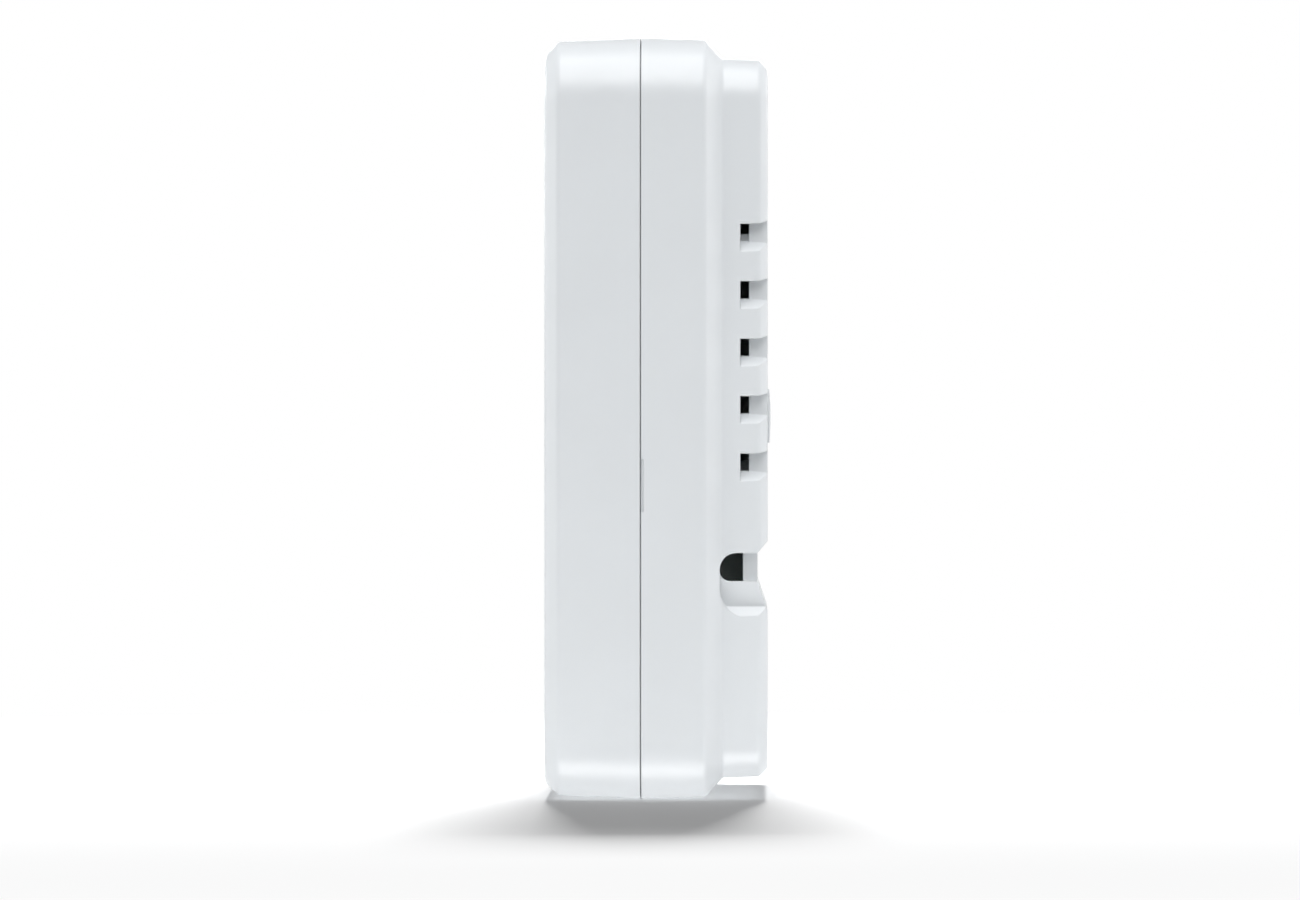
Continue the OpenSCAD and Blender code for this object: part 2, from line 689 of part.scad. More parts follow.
module front_cover() color("white") upright() difference() {
    union() {
        difference() {
            swept(body_w, body_h, corner_r, cover_outline);
            swept(body_w, body_h, corner_r, cover_cavity);
        }
        for (p = display_screws_at) at(p, display_board_z) peg(boss_r, display_board_gap + wall / 2);
    }
    // seat and window of the lens
    at([0, display_y], front_z - lens_t) block([lens_w + 0.2, lens_h + 0.2, lens_t + cut], 3.1);
    at([0, display_y], front_inner_z - cut) block([lens_w - 4, lens_h - 4, wall + 2 * cut], 1.5);
    for (i = [0:3]) at(small_key_at(i), front_inner_z - cut)
        key_hole([small_key_w, small_key_h], small_key_r);
    for (i = [0:1]) at(large_key_at(i), front_inner_z - cut)
        key_hole([large_key_w, large_key_h], large_key_r);
    at(reset_at, front_inner_z - cut) peg(reset_r + key_gap, wall + 2 * cut);
    for (p = pipe_at) at(p, front_inner_z - cut) peg(pipe_r + 0.05, wall + 2 * cut);
    at([slider_x, slider_row_y], front_z - slider_dish_d)
        slot(slider_dish[0], slider_dish[1], slider_dish_d + cut);
    at([slider_x, slider_row_y], front_inner_z - cut)
        box([2 * slider_travel + slider_knob[0] + 0.6, slider_knob[1] + 0.6, wall + cut]);
    for (p = display_screws_at) at(p, display_board_z - cut)
        peg(screw_hole_r, display_board_gap - 0.4 + cut);
}

cover_wall_in = cover_cavity_r - corner_r; // inner face of the cover's wall, from the outline

module cover_hooks() color("white") upright() for (p = hook_places) hook_at(p) {
    face = base_wall_in - hook_gap;
    back = face - hook_t;
    nose = base_wall_in + hook_catch;
    low = seam_z - hook_low;
    along_y(-hook_w / 2, hook_w / 2) polygon([
        [back, low - 0.6], [face, low - 0.6], [face + 0.3, low], [nose, low + hook_nose_h - 0.4],
        [nose, low + hook_nose_h], [face, low + hook_nose_h], [face, seam_z + hook_root[0]],
        [cover_wall_in, seam_z + hook_root[0] + 0.6], [cover_wall_in, seam_z + hook_root[1]],
        [back, seam_z + hook_root[1]]
    ]);
}

module display_lens() color("lightcyan", 0.4) upright()
    at([0, display_y], front_z - lens_t) block([lens_w, lens_h, lens_t], 3);

frame_outer = [display_glass_size[0] + 2 * display_frame_t, display_glass_size[1] + 2 * display_frame_t];

module display_frame() color("whitesmoke") upright() at([0, display_y], display_board_z) difference() {
    box([frame_outer[0], frame_outer[1], display_board_gap - 0.1]);
    translate([0, 0, -cut]) box([display_glass_size[0] + 0.2, display_glass_size[1] + 0.2,
        display_glass_z + display_glass_t + 0.1 - display_board_z + cut]);
    box([lens_w - 3, lens_h - 3, display_board_gap + cut]);
}

module display_glass() color("darkseagreen") upright() at([0, display_y], display_glass_z)
    box([display_glass_size[0], display_glass_size[1], display_glass_t]);

panel_size = [display_glass_size[0] - 3, display_glass_size[1] - 7, 1.6];

module backlight_panel() color("honeydew") upright()
    at([0, display_y], display_glass_z - panel_size[2]) box(panel_size);

module zebra_strips() color("hotpink") upright() for (side = [-1, 1])
    at([0, display_y + side * (display_glass_size[1] / 2 - 1.6)], display_board_z)
        box([display_glass_size[0] - 4, 2.2, display_glass_z - display_board_z]);

module display_board() color("seagreen") upright() difference() {
    translate([-display_board_w / 2, display_board_y[0], display_board_rear])
        cube([display_board_w, display_board_y[1] - display_board_y[0], board_t]);
    for (p = display_screws_at) at(p, display_board_rear - cut) peg(board_hole_r, board_t + 2 * cut);
}

module display_screws() color("silver") upright()
    for (p = display_screws_at) at(p, display_board_rear) cross_screw(board_t + display_board_gap - 1.2);

plunger_gap = 0.1;
switch_floor = plunger_z - plunger_l - key_travel - plunger_gap - display_board_z;

module key_switches() color("dimgray") upright()
    for (p = key_places) at(p, display_board_z) difference() {
        box([switch_w, switch_w, switch_z - display_board_z]);
        translate([0, 0, switch_floor]) peg(plunger_r + plunger_gap, switch_z - display_board_z);
    }

lever = [2, 2.4];
slide_body = [13, 7, 4];

slide_body_floor = 1.2;
lever_gap = 0.3;

module slide_switch_body() color("silver") upright()
    at([slider_x, slider_row_y], display_board_z) difference() {
        box(slide_body);
        translate([0, 0, slide_body_floor])
            box([2 * (slider_travel + lever_gap) + lever[0], lever[1] + 0.4, slide_body[2]]);
    }

chip_at = [4, -2];
chip_size = [10, 10, 1.4];
chip_rise = 0.15;
chip_leg = [1.2, 0.4, 0.9];
chip_leg_pitch = 1.1;
chip_legs = 8;

module microcontroller() color("dimgray") upright() at(chip_at, display_board_rear) mirror([0, 0, 1]) {
    translate([0, 0, chip_rise]) box(chip_size);
    for (side = [0:3], i = [0:chip_legs - 1]) rotate(90 * side)
        translate([chip_size[0] / 2 + 0.4, (i - (chip_legs - 1) / 2) * chip_leg_pitch, 0]) box(chip_leg);
}

crystal_at = [14, -2];
crystal_size = [10, 3.8, 3.4];

module crystal() color("silver") upright() at(crystal_at, display_board_rear) mirror([0, 0, 1])
    rotate(90) slot(crystal_size[0], crystal_size[1], crystal_size[2]);

cell_at = [0, -32];
cell_r = 10;
cell_t = 3.2;

cell_gap = 0.15;
holder_floor = 0.8;
holder_h = 4.2;
holder_wall = 1.4;
holder_ears = [6, 7]; // how much longer than the cell the ears are, and their width
holder_mouth = [9, 8]; // opening for a fingertip

module cell_holder() color("black") upright()
    at(cell_at, display_board_rear) mirror([0, 0, 1]) difference() {
        union() {
            peg(cell_r + holder_wall, holder_h);
            box([2 * cell_r + holder_ears[0], holder_ears[1], holder_h]);
        }
        translate([0, 0, holder_floor]) peg(cell_r + cell_gap, holder_h);
        translate([0, -cell_r, holder_floor]) box([holder_mouth[0], holder_mouth[1], holder_h]);
    }

module backup_cell() color("silver") upright() at(cell_at, display_board_rear) mirror([0, 0, 1])
    translate([0, 0, holder_floor]) rotate_extrude() polygon(rounded([
        [0, 0, 0], [cell_r - 1.2, 0, 0], [cell_r - 0.8, 0.5, 0], [cell_r, 0.5, 0], [cell_r, cell_t, 0.4],
        [0, cell_t, 0]
    ]));

header_h = 2.5;
header_z = display_board_rear - header_h;
pin_reach = 4.6; // how far the pins stand in the socket
pin_tip_z = power_board_top + socket_h - pin_reach;

module link_header() color("black") upright() {
    at(link_at, header_z) box([link_size[0], link_size[1], header_h]);
    for (p = link_pins) at(link_at + p, pin_tip_z) box([pin_w, pin_w, header_z - pin_tip_z + eps]);
}

pipe_r = 1.2;
pipe_collar = [0.8, 1]; // how far the collar stands out, and its thickness
led_size = [2, 1.25, 0.9];
led_gap = 0.5; // between a lamp and its light pipe

module light_pipes() color("honeydew", 0.6) upright() for (p = pipe_at) {
    low = display_board_z + led_size[2] + led_gap;
    at(p, low) peg(pipe_r, front_z - low);
    at(p, front_inner_z - pipe_collar[1] - 0.1) peg(pipe_r + pipe_collar[0], pipe_collar[1]);
}

module status_leds() color("ivory") upright() for (p = pipe_at) at(p, display_board_z) box(led_size);

// ---------------------------------------------------------------- buttons and slider

// Button cap of size [w, h], its top a little rounded, with the flange that keeps it in the cover.
module key_cap(size, r) {
    top = front_z - 0.05;
    edge = 0.5;
    swept(size[0], size[1], r, [
        [0, key_flange_z - eps], [r, key_flange_z - eps], [r, top - edge], [r - 0.15, top - 0.15],
        [r - edge, top], [0, top]
    ]);
    translate([0, 0, key_flange_z - key_flange_t])
        block([size[0] + 2 * key_flange, size[1] + 2 * key_flange, key_flange_t], r);
}

module small_button(i) color("lightgray") upright()
    at(small_key_at(i), 0) key_cap([small_key_w, small_key_h], small_key_r);

module large_button(i) color("lightgray") upright()
    at(large_key_at(i), 0) key_cap([large_key_w, large_key_h], large_key_r);

module menu_button() small_button(0);
module minus_button() small_button(1);
module plus_button() small_button(2);
module ok_button() small_button(3);
module boost_button() large_button(0);
module advance_button() large_button(1);

module reset_button() color("gray") upright() at(reset_at, 0) {
    translate([0, 0, key_flange_z - eps]) peg(reset_r, front_z - 0.6 - key_flange_z);
    translate([0, 0, key_flange_z - key_flange_t]) peg(reset_r + key_flange, key_flange_t);
}

module plunger(p) color("black") upright() at(p, plunger_z - plunger_l) peg(plunger_r, plunger_l);

module menu_plunger() plunger(small_key_at(0));
module minus_plunger() plunger(small_key_at(1));
module plus_plunger() plunger(small_key_at(2));
module ok_plunger() plunger(small_key_at(3));
module boost_plunger() plunger(large_key_at(0));
module advance_plunger() plunger(large_key_at(1));
module reset_plunger() plunger(reset_at);

module mode_slider() color("gray") upright() at([slider_x, slider_row_y], 0) {
    plate_z = display_board_z + slide_body[2] + 0.3;
    plate_t = 0.8;
    knob_z = plate_z + plate_t - eps;
    knob_h = front_z - 0.1 - knob_z;
    translate([0, 0, plate_z]) box([2 * slider_dish[0] - 2 * slider_travel - 9, 6.8, plate_t]);
    translate([0, 0, display_board_z + 1.5]) box([lever[0], lever[1], plate_z + eps - display_board_z - 1.5]);
    translate([0, 0, knob_z]) difference() {
        box([slider_knob[0], slider_knob[1], knob_h]);
        // finger grooves
        for (x = [-1.5, 0, 1.5]) translate([x, 0, knob_h - 0.35]) box([0.5, slider_knob[1] + cut, 1]);
    }
}

base_housing();
rear_plug();
power_board();
board_screws();
terminal_block();
terminal_clamps();
terminal_screws();
relay();
transformer();
filter_capacitor();
smoothing_capacitors();
varistor();
fuse();
bridge_rectifier();
link_socket();
cable_clamp_left();
cable_clamp_right();
clamp_screws();
front_cover();
cover_hooks();
display_lens();
display_frame();
display_glass();
backlight_panel();
zebra_strips();
display_board();
display_screws();
key_switches();
slide_switch_body();
microcontroller();
crystal();
cell_holder();
backup_cell();
link_header();
light_pipes();
status_leds();
menu_button();
minus_button();
plus_button();
ok_button();
boost_button();
advance_button();
reset_button();
menu_plunger();
minus_plunger();
plus_plunger();
ok_plunger();
boost_plunger();
advance_plunger();
reset_plunger();
mode_slider();
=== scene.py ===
"""Finish and fine detail for the wall-mounted programmable timer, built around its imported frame."""

import math
import random
from collections import namedtuple

import bmesh
import bpy
from bpy.props import BoolProperty, FloatProperty, FloatVectorProperty, IntProperty, PointerProperty
from mathutils import Matrix, Vector


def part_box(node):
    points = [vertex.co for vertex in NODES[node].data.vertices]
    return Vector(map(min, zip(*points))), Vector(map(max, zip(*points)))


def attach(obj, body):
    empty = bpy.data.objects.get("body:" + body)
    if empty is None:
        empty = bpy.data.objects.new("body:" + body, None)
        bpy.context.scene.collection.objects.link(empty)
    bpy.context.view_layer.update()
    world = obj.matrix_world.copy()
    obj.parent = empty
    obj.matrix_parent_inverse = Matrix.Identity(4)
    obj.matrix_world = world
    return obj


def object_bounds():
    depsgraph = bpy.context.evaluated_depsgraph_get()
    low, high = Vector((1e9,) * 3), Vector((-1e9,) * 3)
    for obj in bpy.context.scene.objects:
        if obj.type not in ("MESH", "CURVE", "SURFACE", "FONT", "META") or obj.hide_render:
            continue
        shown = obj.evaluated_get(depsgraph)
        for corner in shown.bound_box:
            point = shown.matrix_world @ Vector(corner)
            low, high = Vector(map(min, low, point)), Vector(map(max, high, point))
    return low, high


bl_info = {
    "name": "Programmable timer",
    "version": (1, 0, 0),
    "blender": (4, 5, 0),
    "location": "3D View > Sidebar > Timer",
    "description": "Case finish, display, keys, boards and studio for a wall-mounted programmable timer",
    "category": "Object",
}

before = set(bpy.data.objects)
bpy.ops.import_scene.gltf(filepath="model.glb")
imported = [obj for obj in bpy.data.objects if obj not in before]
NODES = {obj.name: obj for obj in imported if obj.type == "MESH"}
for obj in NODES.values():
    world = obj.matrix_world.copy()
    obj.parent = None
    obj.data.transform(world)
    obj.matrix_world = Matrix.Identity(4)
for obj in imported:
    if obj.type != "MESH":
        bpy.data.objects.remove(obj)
CAD_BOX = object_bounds()
MM = 0.001
OUT = (0, -1, 0)  # straight out from the wall
KEYS = ("menu", "minus", "plus", "ok", "boost", "advance", "reset")
HEATED_HOURS = (6, 7, 12, 17, 18, 19, 20, 21)  # blocks over the display's scale
POLES = 5
PIN_PITCH = 2.54
DIGIT_WIDTH = 0.54  # of its height
PLASTIC_IOR = 1.53
# dusty grey drawn into corners and recesses: dust and painted shade
DUST_AND_SHADE_GREY = (0.46, 0.43, 0.38)
SCATTER = (1.0, 0.9, 0.8)  # how far red, green and blue light spread in white plastic
CORNER_REACH = 2.2 * MM  # how far the dust and painted shade reach from a corner
WELD = 0.002 * MM  # split corners closer than this are joined
HARD_EDGE = math.radians(28)
COLOUR = {"subtype": "COLOR", "size": 3, "min": 0.0, "max": 1.0}


# --- node tools


class Tree:
    """Short calls for filling the node tree of a world or a material."""

    def __init__(self, owner):
        owner.use_nodes = True
        self.tree = owner.node_tree
        self.tree.nodes.clear()

    def add(self, kind, settings=None, **inputs):
        node = self.tree.nodes.new(kind)
        for key, value in (settings or {}).items():
            setattr(node, key, value)
        for key, value in inputs.items():
            self.put(node, key.replace("_", " "), value)
        return node

    def put(self, node, key, value):
        socket = node.inputs[int(key)] if key.isdigit() else node.inputs[key]
        if isinstance(value, bpy.types.NodeSocket):
            self.tree.links.new(value, socket)
        elif isinstance(value, bpy.types.Node):
            self.tree.links.new(value.outputs[0], socket)
        elif isinstance(value, tuple) and len(value) == 3 and socket.type == "RGBA":
            socket.default_value = (*value, 1.0)
        else:
            socket.default_value = value

    def math(self, operation, a, b=0.0):
        node = self.add("ShaderNodeMath", {"operation": operation})
        self.put(node, "0", a)
        self.put(node, "1", b)
        return node.outputs[0]

    def noise(self, place, scale, detail=3.0, roughness=0.55):
        return self.add("ShaderNodeTexNoise", Vector=place, Scale=scale, Detail=detail,
                        Roughness=roughness).outputs["Fac"]

    def spread(self, value, low, high, out_low=0.0, out_high=1.0):
        return self.add("ShaderNodeMapRange", Value=value, From_Min=low, From_Max=high, To_Min=out_low,
                        To_Max=out_high).outputs[0]

    def blend(self, fac, a, b):
        node = self.add("ShaderNodeMix", {"data_type": "RGBA"})
        self.put(node, "0", fac)
        self.put(node, "6", a)
        self.put(node, "7", b)
        return node.outputs[2]

    def either(self, fac, a, b):
        """One shader or the other."""
        mix = self.tree.nodes.new("ShaderNodeMixShader")
        for key, value in (("0", fac), ("1", a), ("2", b)):
            self.put(mix, key, value)
        return mix

    def place(self, stretch=(1, 1, 1)):
        """Position in the object's own space, which moves with it."""
        coord = self.add("ShaderNodeTexCoord").outputs["Object"]
        if stretch == (1, 1, 1):
            return coord
        return self.add("ShaderNodeMapping", Vector=coord, Scale=stretch).outputs[0]


class Finish(Tree):
    """A new material's tree, closed by surface()."""

    def __init__(self, name):
        self.material = bpy.data.materials.new(name)
        super().__init__(self.material)

    def relief(self, height, strength, distance, edge=None):
        """Bump of that height in mm, on edges rounded by that many mm."""
        bump = self.add("ShaderNodeBump", Strength=strength, Distance=distance * MM, Height=height)
        if edge is not None:
            self.put(bump, "Normal", self.add("ShaderNodeBevel", {"samples": 4}, Radius=edge * MM))
        return bump

    def uneven(self, rough, value, low, high, out_low, out_high):
        """Roughness that varies by a little about its middle."""
        return self.math("ADD", self.spread(value, low, high, out_low, out_high), rough)

    def surface(self, body, rough, bump, **inputs):
        """The Principled shader with its colour, roughness and relief, and the finished material."""
        shader = self.add("ShaderNodeBsdfPrincipled", Base_Color=body, Roughness=rough, Normal=bump, **inputs)
        self.add("ShaderNodeOutputMaterial", Surface=shader)
        return self.material


def shade(value, factor):
    """The same colour, lighter or darker."""
    return tuple(min(1.0, c * factor) for c in value)


def finish_plastic(name, colour, rough=0.35, grain=0.12, grain_depth=0.004, edge=0.2, dust=0.06,
                   sheen_of_use=0.05, subsurface=0.0):
    """Moulded plastic: spark texture of the given grain in mm, slow colour drift, dust and painted shade in
    corners.
    """
    t = Finish(name)
    place = t.place()
    drift = t.noise(place, 45.0, 2.0)
    cloud = t.noise(place, 260.0, 4.0)
    spark = t.noise(place, 1.0 / (grain * MM), 2.0, 0.6)
    scuff = t.noise(t.place((900, 60, 900)), 3.0, 4.0, 0.7)
    # ambient occlusion finds the corners and recesses where shade falls
    corner = t.add("ShaderNodeAmbientOcclusion", {"samples": 6, "only_local": True}, Distance=CORNER_REACH)
    body = t.blend(t.spread(drift, 0.35, 0.65), shade(colour, 0.985), shade(colour, 1.01))
    body = t.blend(t.math("MULTIPLY", t.spread(cloud, 0.4, 0.75), 0.25), body, shade(colour, 0.97))
    # painted shade with dust: the colour goes towards grey where the occlusion is deepest
    dust_and_painted_shade = t.math("MULTIPLY", t.spread(corner.outputs["AO"], 0.15, 0.75, 1.0, 0.0), dust)
    body = t.blend(dust_and_painted_shade, body, DUST_AND_SHADE_GREY)
    uneven = t.math("ADD", t.spread(cloud, 0.3, 0.7, -sheen_of_use, sheen_of_use),
                    t.spread(scuff, 0.62, 0.75, 0.0, sheen_of_use))
    soft = {}
    if subsurface:
        soft = {"Subsurface_Weight": subsurface, "Subsurface_Radius": SCATTER, "Subsurface_Scale": 1.2 * MM}
    return t.surface(body, t.math("ADD", uneven, rough), t.relief(spark, 1.0, grain_depth, edge),
                     IOR=PLASTIC_IOR, **soft)


def finish_metal(name, colour, rough=0.3, stretch=(1, 1, 40), scratch=0.1, edge=0.08):
    """Plated or brushed metal: fine lines along one direction and a cloudy plating."""
    t = Finish(name)
    lines = t.noise(t.place(stretch), 900.0, 3.0, 0.6)
    cloud = t.noise(t.place(), 700.0, 4.0)
    body = t.blend(t.spread(cloud, 0.35, 0.7), shade(colour, 0.86), colour)
    scratched = t.uneven(rough, lines, 0.3, 0.7, -scratch, scratch)
    return t.surface(body, scratched, t.relief(lines, 0.6, 0.006, edge), Metallic=1.0)


def finish_clear(name, colour, rough=0.06, ior=1.49):
    """Clear or tinted plastic or glass with faint wipe marks."""
    t = Finish(name)
    wipe = t.noise(t.place((60, 60, 500)), 2.5, 4.0, 0.65)
    tint = t.blend(t.noise(t.place(), 120.0, 3.0), colour, shade(colour, 0.96))
    return t.surface(tint, t.uneven(rough, wipe, 0.45, 0.8, 0.0, 0.06), t.relief(wipe, 0.15, 0.002),
                     IOR=ior, Transmission_Weight=1.0)


def finish_ink(name, colour, rough=0.45):
    """Printed or painted mark, a little uneven in cover."""
    t = Finish(name)
    speck = t.noise(t.place(), 5200.0, 3.0)
    cloud = t.noise(t.place(), 900.0, 2.0)
    body = t.blend(t.spread(speck, 0.3, 0.75), colour, shade(colour, 0.8))
    return t.surface(body, t.uneven(rough, cloud, 0.3, 0.7, -0.05, 0.08), t.relief(speck, 0.3, 0.003),
                     IOR=1.45)


def finish_board(name, mask):
    """Glass fibre board under solder mask: copper areas show through a little lighter, weave in relief."""
    t = Finish(name)
    place = t.place()
    threads = [t.add("ShaderNodeTexWave", {"bands_direction": way}, Vector=place, Scale=420.0, Distortion=0.4)
               for way in "XZ"]
    weave = t.math("MULTIPLY", threads[0].outputs["Fac"], threads[1].outputs["Fac"])
    pour = t.spread(t.noise(place, 55.0, 1.0), 0.44, 0.56)
    body = t.blend(pour, shade(mask, 1.12), mask)
    body = t.blend(t.math("MULTIPLY", weave, 0.12), body, shade(mask, 0.6))
    grime = t.spread(t.noise(place, 180.0, 3.0), 0.3, 0.7, 0.28, 0.42)
    bump = t.relief(t.math("MULTIPLY", weave, 0.4), 0.5, 0.03)
    return t.surface(body, grime, bump, IOR=1.5, Coat_Weight=0.3)


def shading_group():
    """Joins the frame's split corners and shades its round faces evenly, keeping hard edges hard."""
    group = bpy.data.node_groups.new("even_shading", "GeometryNodeTree")
    for way in ("INPUT", "OUTPUT"):
        group.interface.new_socket("Geometry", in_out=way, socket_type="NodeSocketGeometry")
    new, link = group.nodes.new, group.links.new
    source, result = new("NodeGroupInput"), new("NodeGroupOutput")
    merge = new("GeometryNodeMergeByDistance")
    merge.inputs["Distance"].default_value = WELD
    plain = new("GeometryNodeRemoveAttribute")
    plain.inputs["Name"].default_value = "custom_normal"
    smooth, sharp = new("GeometryNodeSetShadeSmooth"), new("GeometryNodeSetShadeSmooth")
    smooth.domain, sharp.domain = "FACE", "EDGE"
    sharp.inputs["Shade Smooth"].default_value = False
    angle, compare = new("GeometryNodeInputMeshEdgeAngle"), new("FunctionNodeCompare")
    compare.operation = "GREATER_THAN"
    compare.inputs[1].default_value = HARD_EDGE
    chain = (source, merge, plain, smooth, sharp, result)
    for one, following in zip(chain, chain[1:]):
        link(one.outputs[0], following.inputs[0])
    link(angle.outputs["Unsigned Angle"], compare.inputs[0])
    link(compare.outputs[0], sharp.inputs["Selection"])
    return group


def dress(material, *nodes):
    """Gives frame nodes their finish and even shading."""
    for node in nodes:
        obj = NODES[node]
        obj.data.materials.clear()
        obj.data.materials.append(material)
        even = obj.modifiers.new("Even shading", "NODES")
        even.node_group = bpy.data.node_groups.get("even_shading") or shading_group()
        weight = obj.modifiers.new("Face weights", "WEIGHTED_NORMAL")
        weight.keep_sharp = True


# --- shape tools


def bar(a, b, width):
    """Outline of a straight stroke from a to b."""
    a, b = Vector(a), Vector(b)
    along = (b - a).normalized()
    side = Vector((-along.y, along.x)) * width / 2
    return [a - side, b - side, b + side, a + side]


def around(centre, radius, angle):
    """Point at that radius and angle from a centre."""
    return centre[0] + radius * math.cos(angle), centre[1] + radius * math.sin(angle)


def disc(centre, radius, steps=28, start=0.0, turn=360.0):
    """Points round a centre: the whole turn, or part of one with both its ends."""
    count = steps if abs(turn) >= 360 else steps + 1
    angles = [math.radians(start + turn * i / steps) for i in range(count)]
    return [Vector(around(centre, radius, a)) for a in angles]


def between(outer, inner, closed=True):
    """Outlines of the short pieces between two outlines that have as many points."""
    count = len(outer)
    return [[outer[i], outer[(i + 1) % count], inner[(i + 1) % count], inner[i]]
            for i in range(count if closed else count - 1)]


def arc_band(centre, radius, width, start=0.0, turn=360.0, steps=28):
    """A ring or part of one."""
    outer, inner = (disc(centre, radius + off, steps, start, turn) for off in (width / 2, -width / 2))
    return between(outer, inner, abs(turn) >= 360)


def rounded_box(width, height, radius, centre=(0, 0), steps=6):
    """Outline of a rectangle with round corners."""
    points = []
    for i, (sx, sy) in enumerate(((1, 1), (-1, 1), (-1, -1), (1, -1))):
        c = (centre[0] + sx * (width / 2 - radius), centre[1] + sy * (height / 2 - radius))
        points += disc(c, radius, steps, 90 * i, 90)
    return points


Face = namedtuple("Face", "x y width height rear front")


def face_box(node):
    """A node's box as seen from the front, in mm: middle, size, rear and front depth from the wall."""
    low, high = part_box(node)
    return Face((low.x + high.x) / 2 / MM, (low.z + high.z) / 2 / MM, (high.x - low.x) / MM,
                (high.z - low.z) / MM, -high.y / MM, -low.y / MM)


def pole_pitch(block):
    """Distance between two terminals of the block, whose end walls take 0.6 mm."""
    return (block.width - 0.6) / POLES


def to_front(point, depth):
    """A point drawn as seen from the front, in mm, put at that depth from the wall."""
    return Vector((point[0] * MM, -depth * MM, point[1] * MM))


def add_prism(bm, outline, depth, thickness):
    """Closed prism on an outline in mm, from depth outwards to the front."""
    back = [bm.verts.new(to_front(p, depth)) for p in outline]
    face = [bm.verts.new(to_front(p, depth + thickness)) for p in outline]
    count = len(outline)
    bm.faces.new(face)
    bm.faces.new(list(reversed(back)))
    for i in range(count):
        j = (i + 1) % count
        bm.faces.new((back[i], back[j], face[j], face[i]))


def make_object(name, bm, material, body, smooth=False):
    """Turns a built mesh into a piece that rides on a body and has its finish."""
    bmesh.ops.recalc_face_normals(bm, faces=bm.faces[:])
    mesh = bpy.data.meshes.new(name)
    for f in bm.faces:
        f.smooth = smooth
    bm.to_mesh(mesh)
    bm.free()
    mesh.materials.append(material)
    obj = bpy.data.objects.new(name, mesh)
    bpy.context.scene.collection.objects.link(obj)
    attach(obj, body)
    return obj


def printed(name, outlines, depth, material, body, thickness=0.02):
    """Thin print made of many outlines."""
    bm = bmesh.new()
    for outline in outlines:
        add_prism(bm, outline, depth, thickness)
    return make_object(name, bm, material, body)


def add_lathe(bm, centre, axis, profile, steps=32):
    """Closed turned shape: profile is [radius, distance along the axis] in mm, from radius 0 to radius 0."""
    axis = Vector(axis).normalized()
    side = axis.orthogonal().normalized()
    up = axis.cross(side)
    origin = Vector(centre)
    rings = []
    for radius, along in profile:
        base = origin + axis * along * MM
        if radius == 0:
            rings.append([bm.verts.new(base)])
            continue
        rings.append([
            bm.verts.new(base + (side * math.cos(a) + up * math.sin(a)) * radius * MM)
            for a in (2 * math.pi * i / steps for i in range(steps))
        ])
    for low, high in zip(rings, rings[1:]):
        for i in range(steps):
            j = (i + 1) % steps
            if len(low) == 1:
                bm.faces.new((low[0], high[j], high[i]))
            elif len(high) == 1:
                bm.faces.new((low[i], low[j], high[0]))
            else:
                bm.faces.new((low[i], low[j], high[j], high[i]))


def add_box(bm, low, high):
    """Box between two corners in metres."""
    size = [b - a for a, b in zip(low, high)]
    middle = [(a + b) / 2 for a, b in zip(low, high)]
    bmesh.ops.create_cube(bm, size=1.0, matrix=Matrix.Translation(middle) @ Matrix.Diagonal((*size, 1.0)))


def soften(obj, width, segments=2, angle=35):
    """Rounds a piece's edges, width in mm."""
    bevel = obj.modifiers.new("Soft edges", "BEVEL")
    bevel.width = width * MM
    bevel.segments = segments
    bevel.limit_method = "ANGLE"
    bevel.angle_limit = math.radians(angle)
    bevel.harden_normals = True
    for polygon in obj.data.polygons:
        polygon.use_smooth = True


# --- digits and symbols

SEGMENTS = {
    "0": "abcdef", "1": "bc", "2": "abged", "3": "abgcd", "4": "fgbc", "5": "afgcd", "6": "afgedc",
    "7": "abc", "8": "abcdefg", "9": "abcdfg",
}


def digit_outlines(char, origin, height, weight, slant=0.09):
    """Seven-segment digit, its lower left corner at origin."""
    width = height * DIGIT_WIDTH
    gap = weight * 0.18
    half = weight / 2
    mid, top = height / 2, height
    ends = {
        "a": ((0, top), (width, top)), "b": ((width, top), (width, mid)), "c": ((width, mid), (width, 0)),
        "d": ((0, 0), (width, 0)), "e": ((0, mid), (0, 0)), "f": ((0, top), (0, mid)),
        "g": ((0, mid), (width, mid)),
    }
    outlines = []
    for letter in SEGMENTS[char]:
        a, b = Vector(ends[letter][0]), Vector(ends[letter][1])
        along = (b - a).normalized()
        side = Vector((-along.y, along.x)) * half
        a += along * gap
        b -= along * gap
        shape = [a, a + along * half - side, b - along * half - side, b, b - along * half + side,
                 a + along * half + side]
        outlines.append([Vector((origin[0] + p.x + p.y * slant, origin[1] + p.y)) for p in shape])
    return outlines


def number_outlines(figures, origin, height, weight, slant=0.09):
    """A number or a time such as 18:45, from left to right."""
    outlines = []
    x, foot = origin
    for char in figures:
        if char == ":":
            for y in (0.3, 0.7):
                dot = (x + height * 0.1 + y * height * slant, foot + y * height)
                outlines.append(disc(dot, weight * 0.55, 12))
            x += height * 0.3
        else:
            outlines += digit_outlines(char, (x, foot), height, weight, slant)
            x += height * DIGIT_WIDTH + weight * 1.7
    return outlines


def flame_outlines(centre, size):
    """A flame with one tip, for heating."""
    shape = [(0, -0.5), (0.26, -0.42), (0.38, -0.2), (0.34, 0.02), (0.2, 0.18), (0.16, 0.02), (0.06, 0.26),
             (0.0, 0.55), (-0.12, 0.3), (-0.28, 0.1), (-0.38, -0.14), (-0.28, -0.4)]
    return [[Vector((centre[0] + x * size, centre[1] + y * size)) for x, y in shape]]


def clock_outlines(centre, size, weight):
    """A ring with two hands."""
    outlines = arc_band(centre, size / 2, weight)
    outlines.append(bar(centre, (centre[0], centre[1] + size * 0.34), weight))
    outlines.append(bar(centre, (centre[0] + size * 0.24, centre[1] - size * 0.05), weight))
    return outlines


